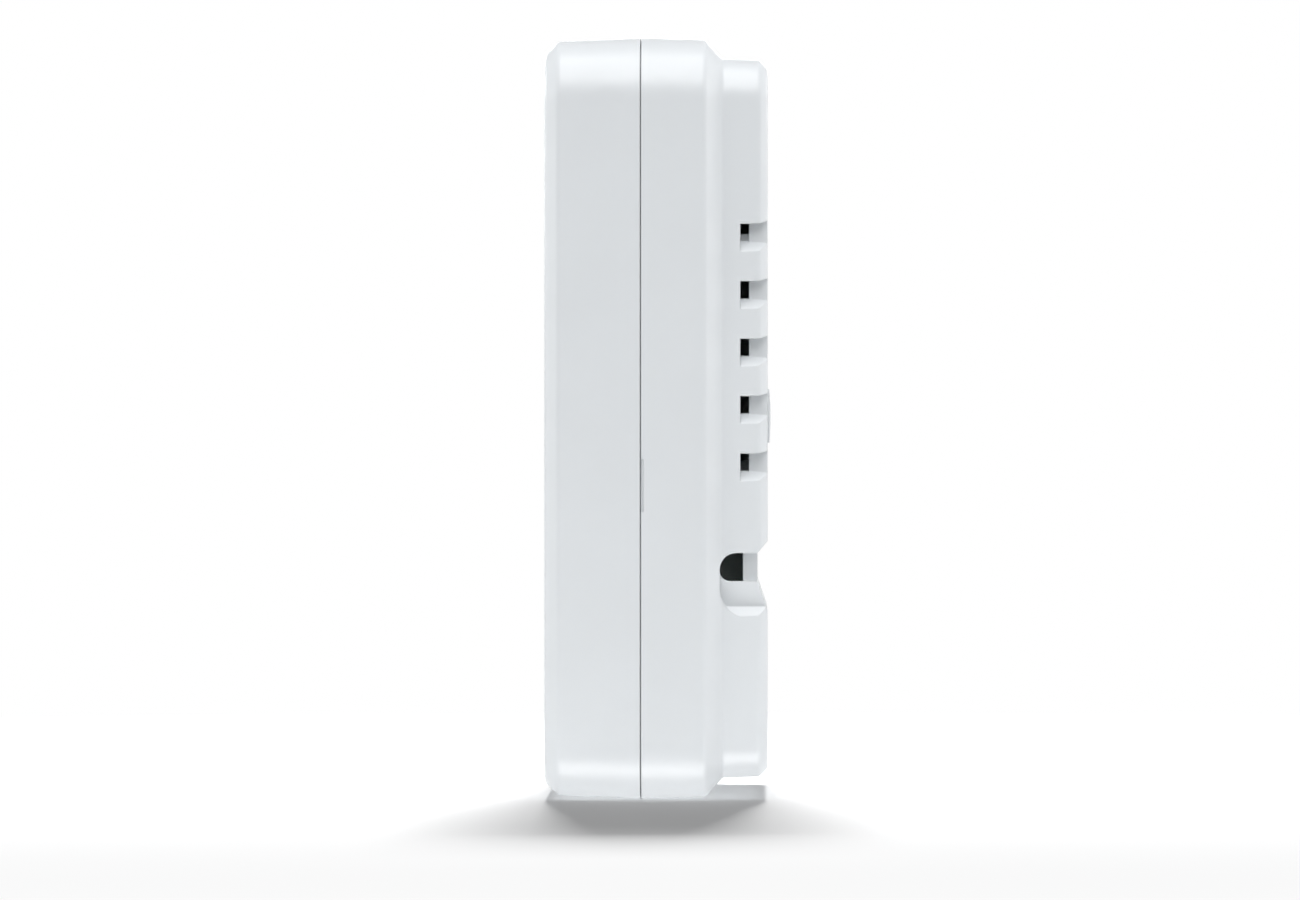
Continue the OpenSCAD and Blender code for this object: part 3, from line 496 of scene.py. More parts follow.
def chevron_outlines(centre, size, weight, turn, count=2):
    """Chevrons one behind the other, pointing along turn degrees."""
    outlines = []
    rotation = Matrix.Rotation(math.radians(turn), 2)
    for i in range(count):
        shift = (i - (count - 1) / 2) * size * 0.55
        tip = Vector((shift + size * 0.22, 0))
        for side in (-1, 1):
            end = Vector((shift - size * 0.22, side * size * 0.44))
            a, b = rotation @ tip + Vector(centre), rotation @ end + Vector(centre)
            outlines.append(bar(a, b, weight))
    return outlines


def key_symbol(name, centre, size, weight):
    """The mark printed on a key."""
    x, y = centre
    half = size / 2
    if name == "menu":
        return [bar((x - half, y + d), (x + half, y + d), weight) for d in (-size * 0.34, 0, size * 0.34)]
    level = bar((x - half, y), (x + half, y), weight)
    if name == "minus":
        return [level]
    if name == "plus":
        return [level, bar((x, y - half), (x, y + half), weight)]
    if name == "ok":
        low = (x - size * 0.12, y - size * 0.34)
        return [bar((x - size * 0.5, y + size * 0.02), low, weight),
                bar(low, (x + size * 0.5, y + size * 0.4), weight)]
    left, right = (x - size * 0.9, y), (x + size * 0.75, y)
    if name == "boost":
        return flame_outlines(left, size * 1.15) + chevron_outlines(right, size * 0.9, weight, 90)
    return clock_outlines(left, size, weight) + chevron_outlines(right, size * 0.9, weight, 0)


# --- settings


class TimerCaseSettings(bpy.types.PropertyGroup):
    colour: FloatVectorProperty(name="Case colour", description="Colour of the two shells",
                                default=(0.64, 0.664, 0.683), **COLOUR)
    roughness: FloatProperty(name="Case roughness", description="Roughness of the shells", default=0.34,
                             min=0.05, max=0.9, subtype="FACTOR")
    grain: FloatProperty(name="Grain", description="Size of the moulded texture, in mm", default=0.14,
                         min=0.05, max=0.6)
    edge: FloatProperty(name="Edge softness", description="Radius of the moulded edges, in mm", default=0.28,
                        min=0.0, max=0.6)
    # strength of the dust and painted shade in the corners
    dust: FloatProperty(name="Dust", description="Dust in the corners", default=0.08, min=0.0, max=1.0,
                        subtype="FACTOR")


class TimerDisplaySettings(bpy.types.PropertyGroup):
    hour: IntProperty(name="Hour", description="Hour shown", default=18, min=0, max=23)
    minute: IntProperty(name="Minute", description="Minute shown", default=45, min=0, max=59)
    day: IntProperty(name="Day", description="Day of the week shown", default=3, min=1, max=7)
    glass: FloatVectorProperty(name="Glass colour", description="Colour of the idle display",
                               default=(0.40, 0.46, 0.38), **COLOUR)
    ink: FloatVectorProperty(name="Segment colour", description="Colour of the lit segments",
                             default=(0.02, 0.025, 0.03), **COLOUR)


class TimerKeySettings(bpy.types.PropertyGroup):
    colour: FloatVectorProperty(name="Key colour", description="Colour of keys and slider",
                                default=(0.23, 0.25, 0.27), **COLOUR)
    symbol: FloatVectorProperty(name="Symbol colour", description="Colour of the printed symbols",
                                default=(0.85, 0.86, 0.87), **COLOUR)


class TimerBoardSettings(bpy.types.PropertyGroup):
    mask: FloatVectorProperty(name="Board colour", description="Colour of the solder mask",
                              default=(0.012, 0.11, 0.045), **COLOUR)
    tracks: BoolProperty(name="Tracks", description="Build the copper tracks and solder joints", default=True)


class TimerStageSettings(bpy.types.PropertyGroup):
    distance: FloatProperty(name="Camera distance", description="From the camera to the object's middle",
                            default=1.5, min=0.3, max=5.0, unit="LENGTH", subtype="DISTANCE")
    view_width: FloatProperty(name="View width", description="Width of the view at the object's near side",
                              default=0.2038, min=0.05, max=1.0, unit="LENGTH", subtype="DISTANCE")
    floor: FloatVectorProperty(name="Floor colour", description="Colour of the floor",
                               default=(0.93, 0.93, 0.93), **COLOUR)


# --- pieces


class TIMER_OT_case(bpy.types.Operator):
    """Finish the two shells, the snap hooks, the display frame and the rear plug"""

    bl_idname = "timer.case"
    bl_label = "Case"

    def execute(self, context):
        s = context.scene.timer_case
        white = finish_plastic("case_white", tuple(s.colour), s.roughness, s.grain, 0.004, s.edge, s.dust,
                               subsurface=0.06)
        dress(white, "base_housing", "front_cover", "cover_hooks", "display_frame")
        dress(finish_plastic("plug_white", shade(s.colour, 0.98), 0.5, 0.2, 0.006, 0.2, s.dust,
                             subsurface=0.1), "rear_plug")
        return {"FINISHED"}


class TIMER_OT_display(bpy.types.Operator):
    """Build the display: lens with its printed mask, glass, segments and light panel"""

    bl_idname = "timer.display"
    bl_label = "Display"

    def execute(self, context):
        s = context.scene.timer_display
        dress(finish_clear("lens_clear", (0.97, 0.985, 0.98), 0.04, 1.58), "display_lens")
        dress(finish_ink("display_cell", tuple(s.glass), 0.22), "display_glass")
        dress(finish_clear("light_panel", (0.85, 0.95, 0.9), 0.3), "backlight_panel")
        dress(finish_plastic("contact_rubber", (0.45, 0.16, 0.2), 0.7, 0.08), "zebra_strips")
        lens = face_box("display_lens")
        self.segments(s, (lens.x, lens.y), face_box("display_glass").front + 0.02)
        self.mask((lens.x, lens.y), (lens.width, lens.height), lens.rear)
        return {"FINISHED"}

    def segments(self, s, middle, depth):
        """The time, the days, two symbols and the day's programme on a scale of hours."""
        x, y = middle
        time_height, day_height, hour_height = 11.5, 2.6, 1.9
        first_day, day_pitch, day_row = x - 21, 7, y + 10.3
        first_hour, hour_pitch = x - 24, 2
        block_row, scale_row, hour_row = y - 9.6, y - 12.2, y - 15.0
        symbol_column = x + 22.6
        lit = number_outlines(f"{s.hour:02d}:{s.minute:02d}", (x - 19.5, y - 5.0), time_height, 1.5)
        for day in range(1, 8):
            place = first_day + (day - 1) * day_pitch
            lit += number_outlines(str(day), (place - 0.7, day_row), day_height, 0.42)
            if day == s.day:
                lit += arc_band((place + 0.1, y + 11.6), 2.3, 0.4, steps=24)
        lit += flame_outlines((symbol_column, y + 3.4), 5.0)
        lit += clock_outlines((symbol_column, y - 3.2), 4.4, 0.5)
        for hour in range(25):
            place = first_hour + hour * hour_pitch
            tall = 1.5 if hour % 6 == 0 else 0.9
            lit.append(bar((place, scale_row), (place, scale_row + tall), 0.28))
            if hour in HEATED_HOURS:
                lit.append(bar((place + 0.22, block_row), (place + 1.78, block_row), 1.4))
            if hour % 6 == 0:
                back = 1.6 if hour > 9 else 0.6
                lit += number_outlines(str(hour), (place - back, hour_row), hour_height, 0.32)
        ink = finish_ink("display_segments", tuple(s.ink), 0.4)
        printed("display_segments", lit, depth, ink, "cover", 0.03)

    def mask(self, middle, size, depth):
        """Dark print round the edge of the lens, on its back."""
        width, height = size
        outer = rounded_box(width - 0.3, height - 0.3, 2.8, middle)
        inner = rounded_box(width - 7.5, height - 5.0, 1.6, middle)
        dark = finish_ink("mask_print", (0.16, 0.18, 0.20), 0.35)
        printed("lens_mask", between(outer, inner), depth - 0.03, dark, "cover")


class TIMER_OT_keys(bpy.types.Operator):
    """Finish the keys and the slider and print their symbols"""

    bl_idname = "timer.keys"
    bl_label = "Keys and slider"

    def execute(self, context):
        s = context.scene.timer_keys
        grey = finish_plastic("key_grey", tuple(s.colour), 0.46, 0.1, 0.006, 0.15, 0.1, sheen_of_use=0.09)
        black = finish_plastic("plunger_black", (0.02, 0.02, 0.022), 0.5, 0.2)
        ink = finish_ink("symbol_print", tuple(s.symbol))
        for key in KEYS:
            dress(grey, f"{key}_button")
            dress(black, f"{key}_plunger")
            if key != "reset":
                face = face_box(f"{key}_button")
                symbol = key_symbol(key, (face.x, face.y), 3.4, 0.55)
                printed(f"{key}_symbol", symbol, face.front, ink, f"{key}_key")
        dress(grey, "mode_slider")
        self.cover_marks()
        return {"FINISHED"}

    def cover_marks(self):
        """Marks beside the slider, lamps and reset key."""
        slider = face_box("mode_slider")
        x, y = slider.x, slider.y
        reset_x = face_box("reset_button").x
        figure_row, lamp_row, reset_row = y + 6.2, y + 5.0, y + 5.4
        pipes_low, pipes_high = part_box("light_pipes")
        ink = finish_ink("case_print", (0.2, 0.215, 0.23))
        marks = number_outlines("0", (x - 5.0, figure_row), 2.3, 0.4, 0)
        marks += clock_outlines((x, y + 7.35), 2.8, 0.36)
        marks += number_outlines("1", (x + 3.2, figure_row), 2.3, 0.4, 0)
        marks += flame_outlines((pipes_low.x / MM + 2.0, lamp_row), 2.6)
        marks += clock_outlines((pipes_high.x / MM - 2.0, lamp_row), 2.4, 0.34)
        marks += arc_band((reset_x, reset_row), 1.15, 0.34, 60, 290, 20)
        arrow = ((0.2, 7.1), (0.2, 5.8), (1.2, 6.6))
        marks.append([Vector((reset_x + dx, y + dy)) for dx, dy in arrow])
        depth = face_box("front_cover").front - 0.015
        printed("case_marks", marks, depth, ink, "cover", 0.025)


class TIMER_OT_power_board(bpy.types.Operator):
    """Finish the power board and everything soldered to it"""

    bl_idname = "timer.power_board"
    bl_label = "Power board"

    # Name, colour, roughness, grain, its depth, edge softness and dust with painted shade in corners.
    looks = {
        "terminal_block": ("terminal_grey", (0.20, 0.225, 0.24), 0.55, 0.15, 0.008, 0.15, 0.12),
        "relay": ("relay_blue", (0.02, 0.07, 0.26), 0.3, 0.2, 0.004, 0.3, 0.1),
        "transformer": ("tape_yellow", (0.72, 0.5, 0.06), 0.32, 0.5, 0.02, 0.25, 0.1),
        "filter_capacitor": ("film_yellow", (0.66, 0.42, 0.04), 0.38, 0.3, 0.006, 0.3, 0.1),
        "smoothing_capacitors": ("sleeve_black", (0.018, 0.02, 0.03), 0.28, 0.3, 0.002, 0.2),
        "varistor": ("varistor_blue", (0.02, 0.09, 0.30), 0.35, 0.6, 0.03, 0.3),
        "fuse": ("fuse_brown", (0.09, 0.035, 0.015), 0.5, 0.15, 0.006, 0.2),
    }

    def execute(self, context):
        s = context.scene.timer_boards
        dress(finish_board("power_board_mask", tuple(s.mask)), "power_board")
        for node, look in self.looks.items():
            dress(finish_plastic(*look), node)
        zinc = finish_metal("zinc_plate", (0.72, 0.73, 0.74), 0.3, (40, 1, 1))
        dress(zinc, "board_screws", "clamp_screws", "terminal_screws", "display_screws")
        dress(finish_metal("plated_brass", (0.76, 0.7, 0.52), 0.34), "terminal_clamps")
        black = finish_plastic("chip_black", (0.016, 0.016, 0.018), 0.6, 0.08, 0.008, 0.08)
        dress(black, "bridge_rectifier", "link_socket", "link_header")
        nylon = finish_plastic("clamp_nylon", (0.62, 0.63, 0.64), 0.45, 0.2, 0.006, 0.2, 0.1)
        dress(nylon, "cable_clamp_left", "cable_clamp_right")
        return {"FINISHED"}


class TIMER_OT_display_board(bpy.types.Operator):
    """Finish the display board and what is on it"""

    bl_idname = "timer.display_board"
    bl_label = "Display board"

    def execute(self, context):
        s = context.scene.timer_boards
        dress(finish_board("display_board_mask", tuple(s.mask)), "display_board")
        dress(bpy.data.materials["chip_black"], "key_switches", "microcontroller", "cell_holder")
        dress(finish_metal("tinned_steel", (0.74, 0.74, 0.72), 0.28), "slide_switch_body", "crystal")
        dress(finish_metal("cell_steel", (0.78, 0.78, 0.79), 0.2, (60, 1, 1)), "backup_cell")
        dress(finish_clear("pipe_clear", (0.93, 0.96, 0.95), 0.15), "light_pipes")
        dress(finish_plastic("led_resin", (0.75, 0.7, 0.45), 0.3), "status_leds")
        return {"FINISHED"}


def route(points, width):
    """Outlines of a track through points, with round joints."""
    outlines = [bar(a, b, width) for a, b in zip(points, points[1:])]
    return outlines + [disc(p, width / 2, 10) for p in points]


def frame_lines(x, y, width, height, line):
    """Outlines of the four sides of a printed frame."""
    signs = ((-1, -1), (1, -1), (1, 1), (-1, 1))
    corners = [(x + sx * width / 2, y + sy * height / 2) for sx, sy in signs]
    return [bar(a, b, line) for a, b in zip(corners, corners[1:] + corners[:1])]


def outline_of(node, margin, line):
    """Printed frame round a part, a margin wider than it."""
    face = face_box(node)
    return frame_lines(face.x, face.y, face.width + margin, face.height + margin, line)


def add_joints(bm, points, depth, outwards, radius=0.8):
    """Solder cones on a board's face."""
    profile = [(0, -0.01), (radius, -0.01), (radius * 0.8, 0.22), (radius * 0.42, 0.55),
               (radius * 0.3, 0.8), (0, 0.84)]
    for p in points:
        add_lathe(bm, to_front(p, depth), (0, -outwards, 0), profile, 12)


def add_block(bm, centre, size, depth, outwards):
    """Box of size [width, height, thickness] standing on a board's face."""
    near, far = sorted((-depth * MM, -(depth + outwards * size[2]) * MM))
    low = ((centre[0] - size[0] / 2) * MM, near, (centre[1] - size[1] / 2) * MM)
    high = ((centre[0] + size[0] / 2) * MM, far, (centre[1] + size[1] / 2) * MM)
    add_box(bm, low, high)


class TIMER_OT_power_detail(bpy.types.Operator):
    """Build tracks, joints and prints on the power board, and the details of its parts"""

    bl_idname = "timer.power_detail"
    bl_label = "Power board detail"

    def execute(self, context):
        s = context.scene.timer_boards
        board = face_box("power_board")
        self.top = board.front
        self.copper = finish_ink("masked_copper", shade(s.mask, 2.1), 0.3)
        self.white = finish_ink("board_print", (0.8, 0.8, 0.76), 0.5)
        self.tin = finish_metal("solder", (0.78, 0.78, 0.77), 0.25, (30, 30, 30))
        if s.tracks:
            self.tracks(board)
        self.outlines(board)
        self.transformer()
        self.capacitors()
        self.part_joints()
        self.terminal_numbers()
        self.relay_print()
        return {"FINISHED"}

    def tracks(self, board):
        """Mains tracks from the terminals, a supply track at the left and five thin ones to the link."""
        block, relay = face_box("terminal_block"), face_box("relay")
        mains_width, supply_width, signal_width = 1.7, 1.2, 0.5
        lines, joints = [], []
        ends = ((relay.x + 4, relay.y - 12), (relay.x - 4, relay.y - 9), (9, 3.5), (-8, 2.0), (-26, 13.0))
        for i, (x_end, y_end) in enumerate(ends):
            x = block.x + (2 - i) * pole_pitch(block)
            y = block.y + block.height / 2 + 1.2
            turn = abs(x_end - x)
            y_turn = max(y, min(y + 1 + 0.7 * i, y_end - turn))
            mains = [(x, y), (x, y_turn), (x_end, y_turn + min(turn, 3.0)), (x_end, y_end)]
            lines += route(mains, mains_width)
            joints += [(x_end, y_end)]
        left = board.x - board.width / 2 + 2.2
        supply = ((left, -18), (left, 6), (left + 3, 9), (left + 3, 20), (left + 12, 26), (10, 26))
        lines += route([(x, board.y + up) for x, up in supply], supply_width)
        for k in range(5):
            y = -1.2 + PIN_PITCH * k
            column, row = -18.5 + k * 0.4, 32 + k * 1.1
            signal = [(-24, y), (-20 + k * 0.4, y), (column, y + 1.5), (column, row), (4 + k, row)]
            lines += route(signal, signal_width)
        printed("power_tracks", lines, self.top - 0.005, self.copper, "base", 0.035)
        bm = bmesh.new()
        add_joints(bm, joints, self.top, 1, 0.9)
        make_object("power_joints", bm, self.tin, "base", True)

    def outlines(self, board):
        """White outlines round the parts and the supply voltage near the upper right corner."""
        line, margin = 0.18, 1.2
        lines = []
        for node in ("relay", "transformer", "filter_capacitor", "fuse", "bridge_rectifier", "varistor",
                     "link_socket", "terminal_block"):
            lines += outline_of(node, margin, line)
        for centre, _, _, ring in self.cans():
            lines += arc_band(centre, ring, line)
        corner = (board.x + board.width / 2 - 9, board.y + board.height / 2 - 4.5)
        lines += number_outlines("230", corner, 1.8, 0.26, 0)
        printed("power_outlines", lines, self.top, self.white, "base")

    def cans(self):
        """Centre, radius, top and printed ring of the two smoothing capacitors."""
        both = face_box("smoothing_capacitors")
        large, small = 4.0, 3.15
        return (((both.x, both.y - both.height / 2 + large), large, both.front, 4.5),
                ((both.x, both.y + both.height / 2 - small), small, both.front - 1.0, 3.7))

    def transformer(self):
        """Ferrite core over the bobbin, and the bobbin's pins."""
        body = face_box("transformer")
        foot = body.rear + 2.0
        ferrite = finish_plastic("ferrite", (0.035, 0.033, 0.034), 0.42, 0.3, 0.01, 0.1)
        bm = bmesh.new()
        for side in (-1, 1):
            leg = (body.x + side * (body.width / 2 - 1.4), body.y)
            add_block(bm, leg, (2.9, 6.12, 11.04), foot, 1)
        for depth in (foot, body.front - 2.4):
            add_block(bm, (body.x, body.y), (body.width + 0.1, 6.1, 2.4), depth, 1)
        soften(make_object("transformer_core", bm, ferrite, "base"), 0.3)
        copper = finish_metal("winding_wire", (0.72, 0.31, 0.12), 0.28, (1, 60, 1))
        pin = [(0, 0), (0.4, 0), (0.4, 0.9), (0.2, 1.1), (0, 1.1)]
        winding = [(0, 0), (0.5, 0), (0.58, 0.12), (0.5, 0.24), (0, 0.24)]
        bm = bmesh.new()
        for side in (-1, 1):
            for k in range(4):
                place = (body.x + side * 7.2, body.y + (k - 1.5) * 3.2)
                add_lathe(bm, to_front(place, body.rear + 1.9), OUT, pin, 10)
                for turn in range(3):
                    add_lathe(bm, to_front(place, body.rear + 2.05 + 0.26 * turn), OUT, winding, 10)
        make_object("transformer_pins", bm, copper, "base", True)

    def capacitors(self):
        """Bare tops with a pressure score drawn as painted shadow lines, and the printed stripe that marks
        the negative side.
        """
        rear = face_box("smoothing_capacitors").rear
        metal = finish_metal("capacitor_can", (0.8, 0.8, 0.81), 0.3, (50, 1, 1))
        # dark ink for the painted shadow of the pressure scores
        dark = finish_ink("score_shadow", (0.1, 0.1, 0.1))
        stripe = finish_ink("capacitor_stripe", (0.55, 0.57, 0.6))
        tops, bands, shadow_lines = bmesh.new(), bmesh.new(), bmesh.new()
        first, step, floor = 150, 7, rear + 2.6
        for centre, radius, top, _ in self.cans():
            bare = [(0, 0), (radius - 0.75, 0), (radius - 0.8, 0.04), (0, 0.04)]
            add_lathe(tops, to_front(centre, top - 0.02), OUT, bare)
            # the score's grooves are not cut: painted shadow lines stand in for their shade
            for turn in (90, 210, 330):
                shadow_line = bar(centre, around(centre, radius - 1.3, math.radians(turn)), 0.22)
                add_prism(shadow_lines, shadow_line, top + 0.015, 0.02)
            inner, outer = radius - 0.2, radius + 0.03
            for i in range(8):
                a, b = (math.radians(first + step * k) for k in (i, i + 1))
                corners = ((inner, a), (outer, a), (outer, b), (inner, b))
                outline = [Vector(around(centre, r, t)) for r, t in corners]
                add_prism(bands, outline, floor, top - rear - 3.4)
        make_object("capacitor_tops", tops, metal, "base")
        make_object("capacitor_stripes", bands, stripe, "base")
        make_object("capacitor_score_shadows", shadow_lines, dark, "base")

    def part_joints(self):
        """Joints of the varistor and the bridge rectifier, beside the parts."""
        bm = bmesh.new()
        part = face_box("varistor")
        add_joints(bm, [(part.x, part.y - 2.5), (part.x, part.y + 2.5)], self.top, 1, 0.75)
        part = face_box("bridge_rectifier")
        reach = part.width / 2 + 0.3
        points = [(part.x + sx * reach, part.y + sy * PIN_PITCH) for sx in (-1, 1) for sy in (-1, 1)]
        add_joints(bm, points, self.top, 1, 0.6)
        make_object("power_pad_joints", bm, self.tin, "base", True)

    def terminal_numbers(self):
        """A number over each terminal."""
        block = face_box("terminal_block")
        row = block.y + block.height / 2 - 4.4
        marks = []
        for i in range(POLES):
            place = (block.x + (i - 2) * pole_pitch(block) - 0.65, row)
            marks += number_outlines(str(i + 1), place, 1.7, 0.3, 0)
        printed("terminal_numbers", marks, block.front, self.white, "base")

    def relay_print(self):
        """Plain circuit drawing on the relay: a coil and a contact, and the case's vent beside it."""
        relay = face_box("relay")
        y, line = relay.y, 0.22
        coil, contact = relay.x - 2.6, relay.x + 2.6
        lines = frame_lines(coil, y, 2.2, 5.0, line)
        strokes = ((coil, 2.5, coil, 6), (coil, -2.5, coil, -6), (contact, -6, contact, -1.8),
                   (contact, -1.8, relay.x + 0.9, 2.2), (contact, 2, contact, 6))
        lines += [bar((x1, y + y1), (x2, y + y2), line) for x1, y1, x2, y2 in strokes]
        for height in (-1.8, 2):
            lines += arc_band((contact, y + height), 0.35, 0.2, steps=12)
        printed("relay_print", lines, relay.front, self.white, "base")
        vent = to_front((relay.x + 4.3, y + relay.height / 2 - 2.2), relay.front - 0.25)
        rim = [(0, 0), (0.8, 0), (0.8, 0.3), (0.55, 0.24), (0, 0.2)]
        bm = bmesh.new()
        add_lathe(bm, vent, OUT, rim, 16)
        make_object("relay_vent", bm, bpy.data.materials["relay_blue"], "base", True)


class TIMER_OT_display_detail(bpy.types.Operator):
    """Build tracks, joints and small parts on the display board"""

    bl_idname = "timer.display_detail"
    bl_label = "Display board detail"

    def execute(self, context):
        s = context.scene.timer_boards
        board = face_box("display_board")
        self.rear = board.rear
        self.white = bpy.data.materials["board_print"]
        self.tin = bpy.data.materials["solder"]
        if s.tracks:
            self.tracks(board)
        self.joints()
        self.small_parts()
        self.prints()
        return {"FINISHED"}

    def tracks(self, board):
        """Tracks that fan out from the chip, six long ones above it, and their plated holes."""
        chip = face_box("microcontroller")
        centre = Vector((chip.x, chip.y))
        copper = bpy.data.materials["masked_copper"]
        lines, holes = [], []
        for side in range(4):
            turn = Matrix.Rotation(math.radians(90 * side), 2)
            spread = 6 if side in (0, 2) else 2
            for j in range(8):
                off = j - 3.5
                reach = 9.5 + (3.2 if j % 2 else 0.0) + spread * abs(off) / 3.5
                points = [(5.6, off * 1.1), (6.9, off * 1.1), (6.9 + abs(off) * 0.7, off * 1.8),
                          (reach + 2, off * 1.8)]
                points = [turn @ Vector(p) + centre for p in points]
                lines += route(points, 0.32)
                holes.append(points[-1])
        low, high = board.y + 10, board.y + 40
        for k in range(6):
            x = -22 + 8.8 * k
            bend = k % 3 * 3
            turns = [(x, board.y + 26 + bend), (x + 3, board.y + 29 + bend)]
            lines += route([(x, low), *turns, (x + 3, high)], 0.4)
            holes += [Vector((x, low)), Vector((x + 3, high))]
        printed("display_tracks", lines, self.rear - 0.025, copper, "cover", 0.03)
        pads = []
        for p in holes:
            pads += arc_band(p, 0.42, 0.3, steps=12)
        printed("display_vias", pads, self.rear - 0.04, self.tin, "cover", 0.04)

    def joints(self):
        """Joints of the key switches and the slide switch."""
        points = []
        for key in KEYS:
            stem = face_box(f"{key}_plunger")
            points += [(stem.x + sx * 3.25, stem.y + sy * 2.25) for sx in (-1, 1) for sy in (-1, 1)]
        switch = face_box("slide_switch_body")
        points += [(switch.x + off, switch.y) for off in (-2.5, 0, 2.5, -5.6, 5.6)]
        bm = bmesh.new()
        add_joints(bm, points, self.rear, -1, 0.8)
        make_object("display_joints", bm, self.tin, "cover", True)

    def small_parts(self):
        """Chip resistors and capacitors in rows on the back of the board."""
        dice = random.Random(7)
        bodies = {"resistor": bmesh.new(), "ceramic": bmesh.new()}
        heights = {"resistor": 0.45, "ceramic": 0.8}
        tones = {"resistor": (0.02, 0.02, 0.022), "ceramic": (0.42, 0.27, 0.15)}
        ends = bmesh.new()
        for x, y in self.chip_places():
            kind = "ceramic" if dice.random() < 0.45 else "resistor"
            x += dice.uniform(-0.12, 0.12)
            y += dice.uniform(-0.12, 0.12)
            add_block(bodies[kind], (x, y), (0.8, 1.1, heights[kind]), self.rear, -1)
            for side in (-1, 1):
                add_block(ends, (x, y + side * 0.75), (0.84, 0.45, heights[kind] + 0.03), self.rear, -1)
        for kind, bm in bodies.items():
            mat = finish_plastic(f"{kind}_body", tones[kind], 0.4, 0.1, 0.004, 0.05)
            soften(make_object(f"{kind}_chips", bm, mat, "cover"), 0.06)
        soften(make_object("chip_ends", ends, self.tin, "cover"), 0.06)

    def chip_places(self):
        """Two rows of ten, a column of seven at the right and four beside the chip."""
        places = [(x, y) for y in (12.0, 17.0) for x in range(-20, 20, 4)]
        places += [(22.0, y) for y in range(-18, 10, 4)]
        return places + [(x, -15.0) for x in (-14, -10, 10, 14)]

    def prints(self):
        """Outlines on the board, the chip's dot and the cell's plus mark."""
        lines = outline_of("microcontroller", 1.4, 0.16)
        for node in ("crystal", "link_header"):
            lines += outline_of(node, 1.0, 0.16)
        printed("display_outlines", lines, self.rear - 0.05, self.white, "cover")
        chip = face_box("microcontroller")
        dot = [disc((chip.x + 3.6, chip.y + 3.6), 0.55)]
        grey = finish_ink("chip_dot", (0.2, 0.2, 0.2), 0.6)
        printed("microcontroller_dot", dot, chip.rear - 0.02, grey, "cover")
        cell = face_box("backup_cell")
        mark = arc_band((cell.x, cell.y), 7.4, 0.16, steps=48)
        mark += key_symbol("plus", (cell.x, cell.y + 2.6), 3.0, 0.3)
        etched = finish_metal("cell_mark", (0.4, 0.4, 0.41), 0.45)
        printed("backup_cell_mark", mark, cell.rear - 0.015, etched, "cover", 0.03)


# --- stage

# Name, place, size and power of the soft lights, all turned to the case's middle.
SOFT_LIGHTS = (
    ("key_light", (0.95, -0.02, 0.95), (0.6, 0.6), 6.1),
    ("left_key_light", (0.7, -0.8, 0.6), (0.6, 0.6), 2.3),
    ("right_key_light", (0.7, 0.8, 0.6), (0.6, 0.6), 2.8),
    ("top_light", (0.28, 0.0, 1.1), (0.7, 0.7), 5.8),
    ("front_light", (0.05, -1.35, 0.2), (0.9, 0.5), 3.8),
    ("rear_light", (0.05, 1.35, 0.2), (0.9, 0.5), 3.8),
    ("far_front_light", (-0.7, -1.2, 0.35), (0.9, 0.5), 6.0),
    ("far_rear_light", (-0.7, 1.2, 0.35), (0.9, 0.5), 6.0),
    ("far_side_light", (-1.35, -0.1, 0.25), (0.9, 0.4), 6.0),
)


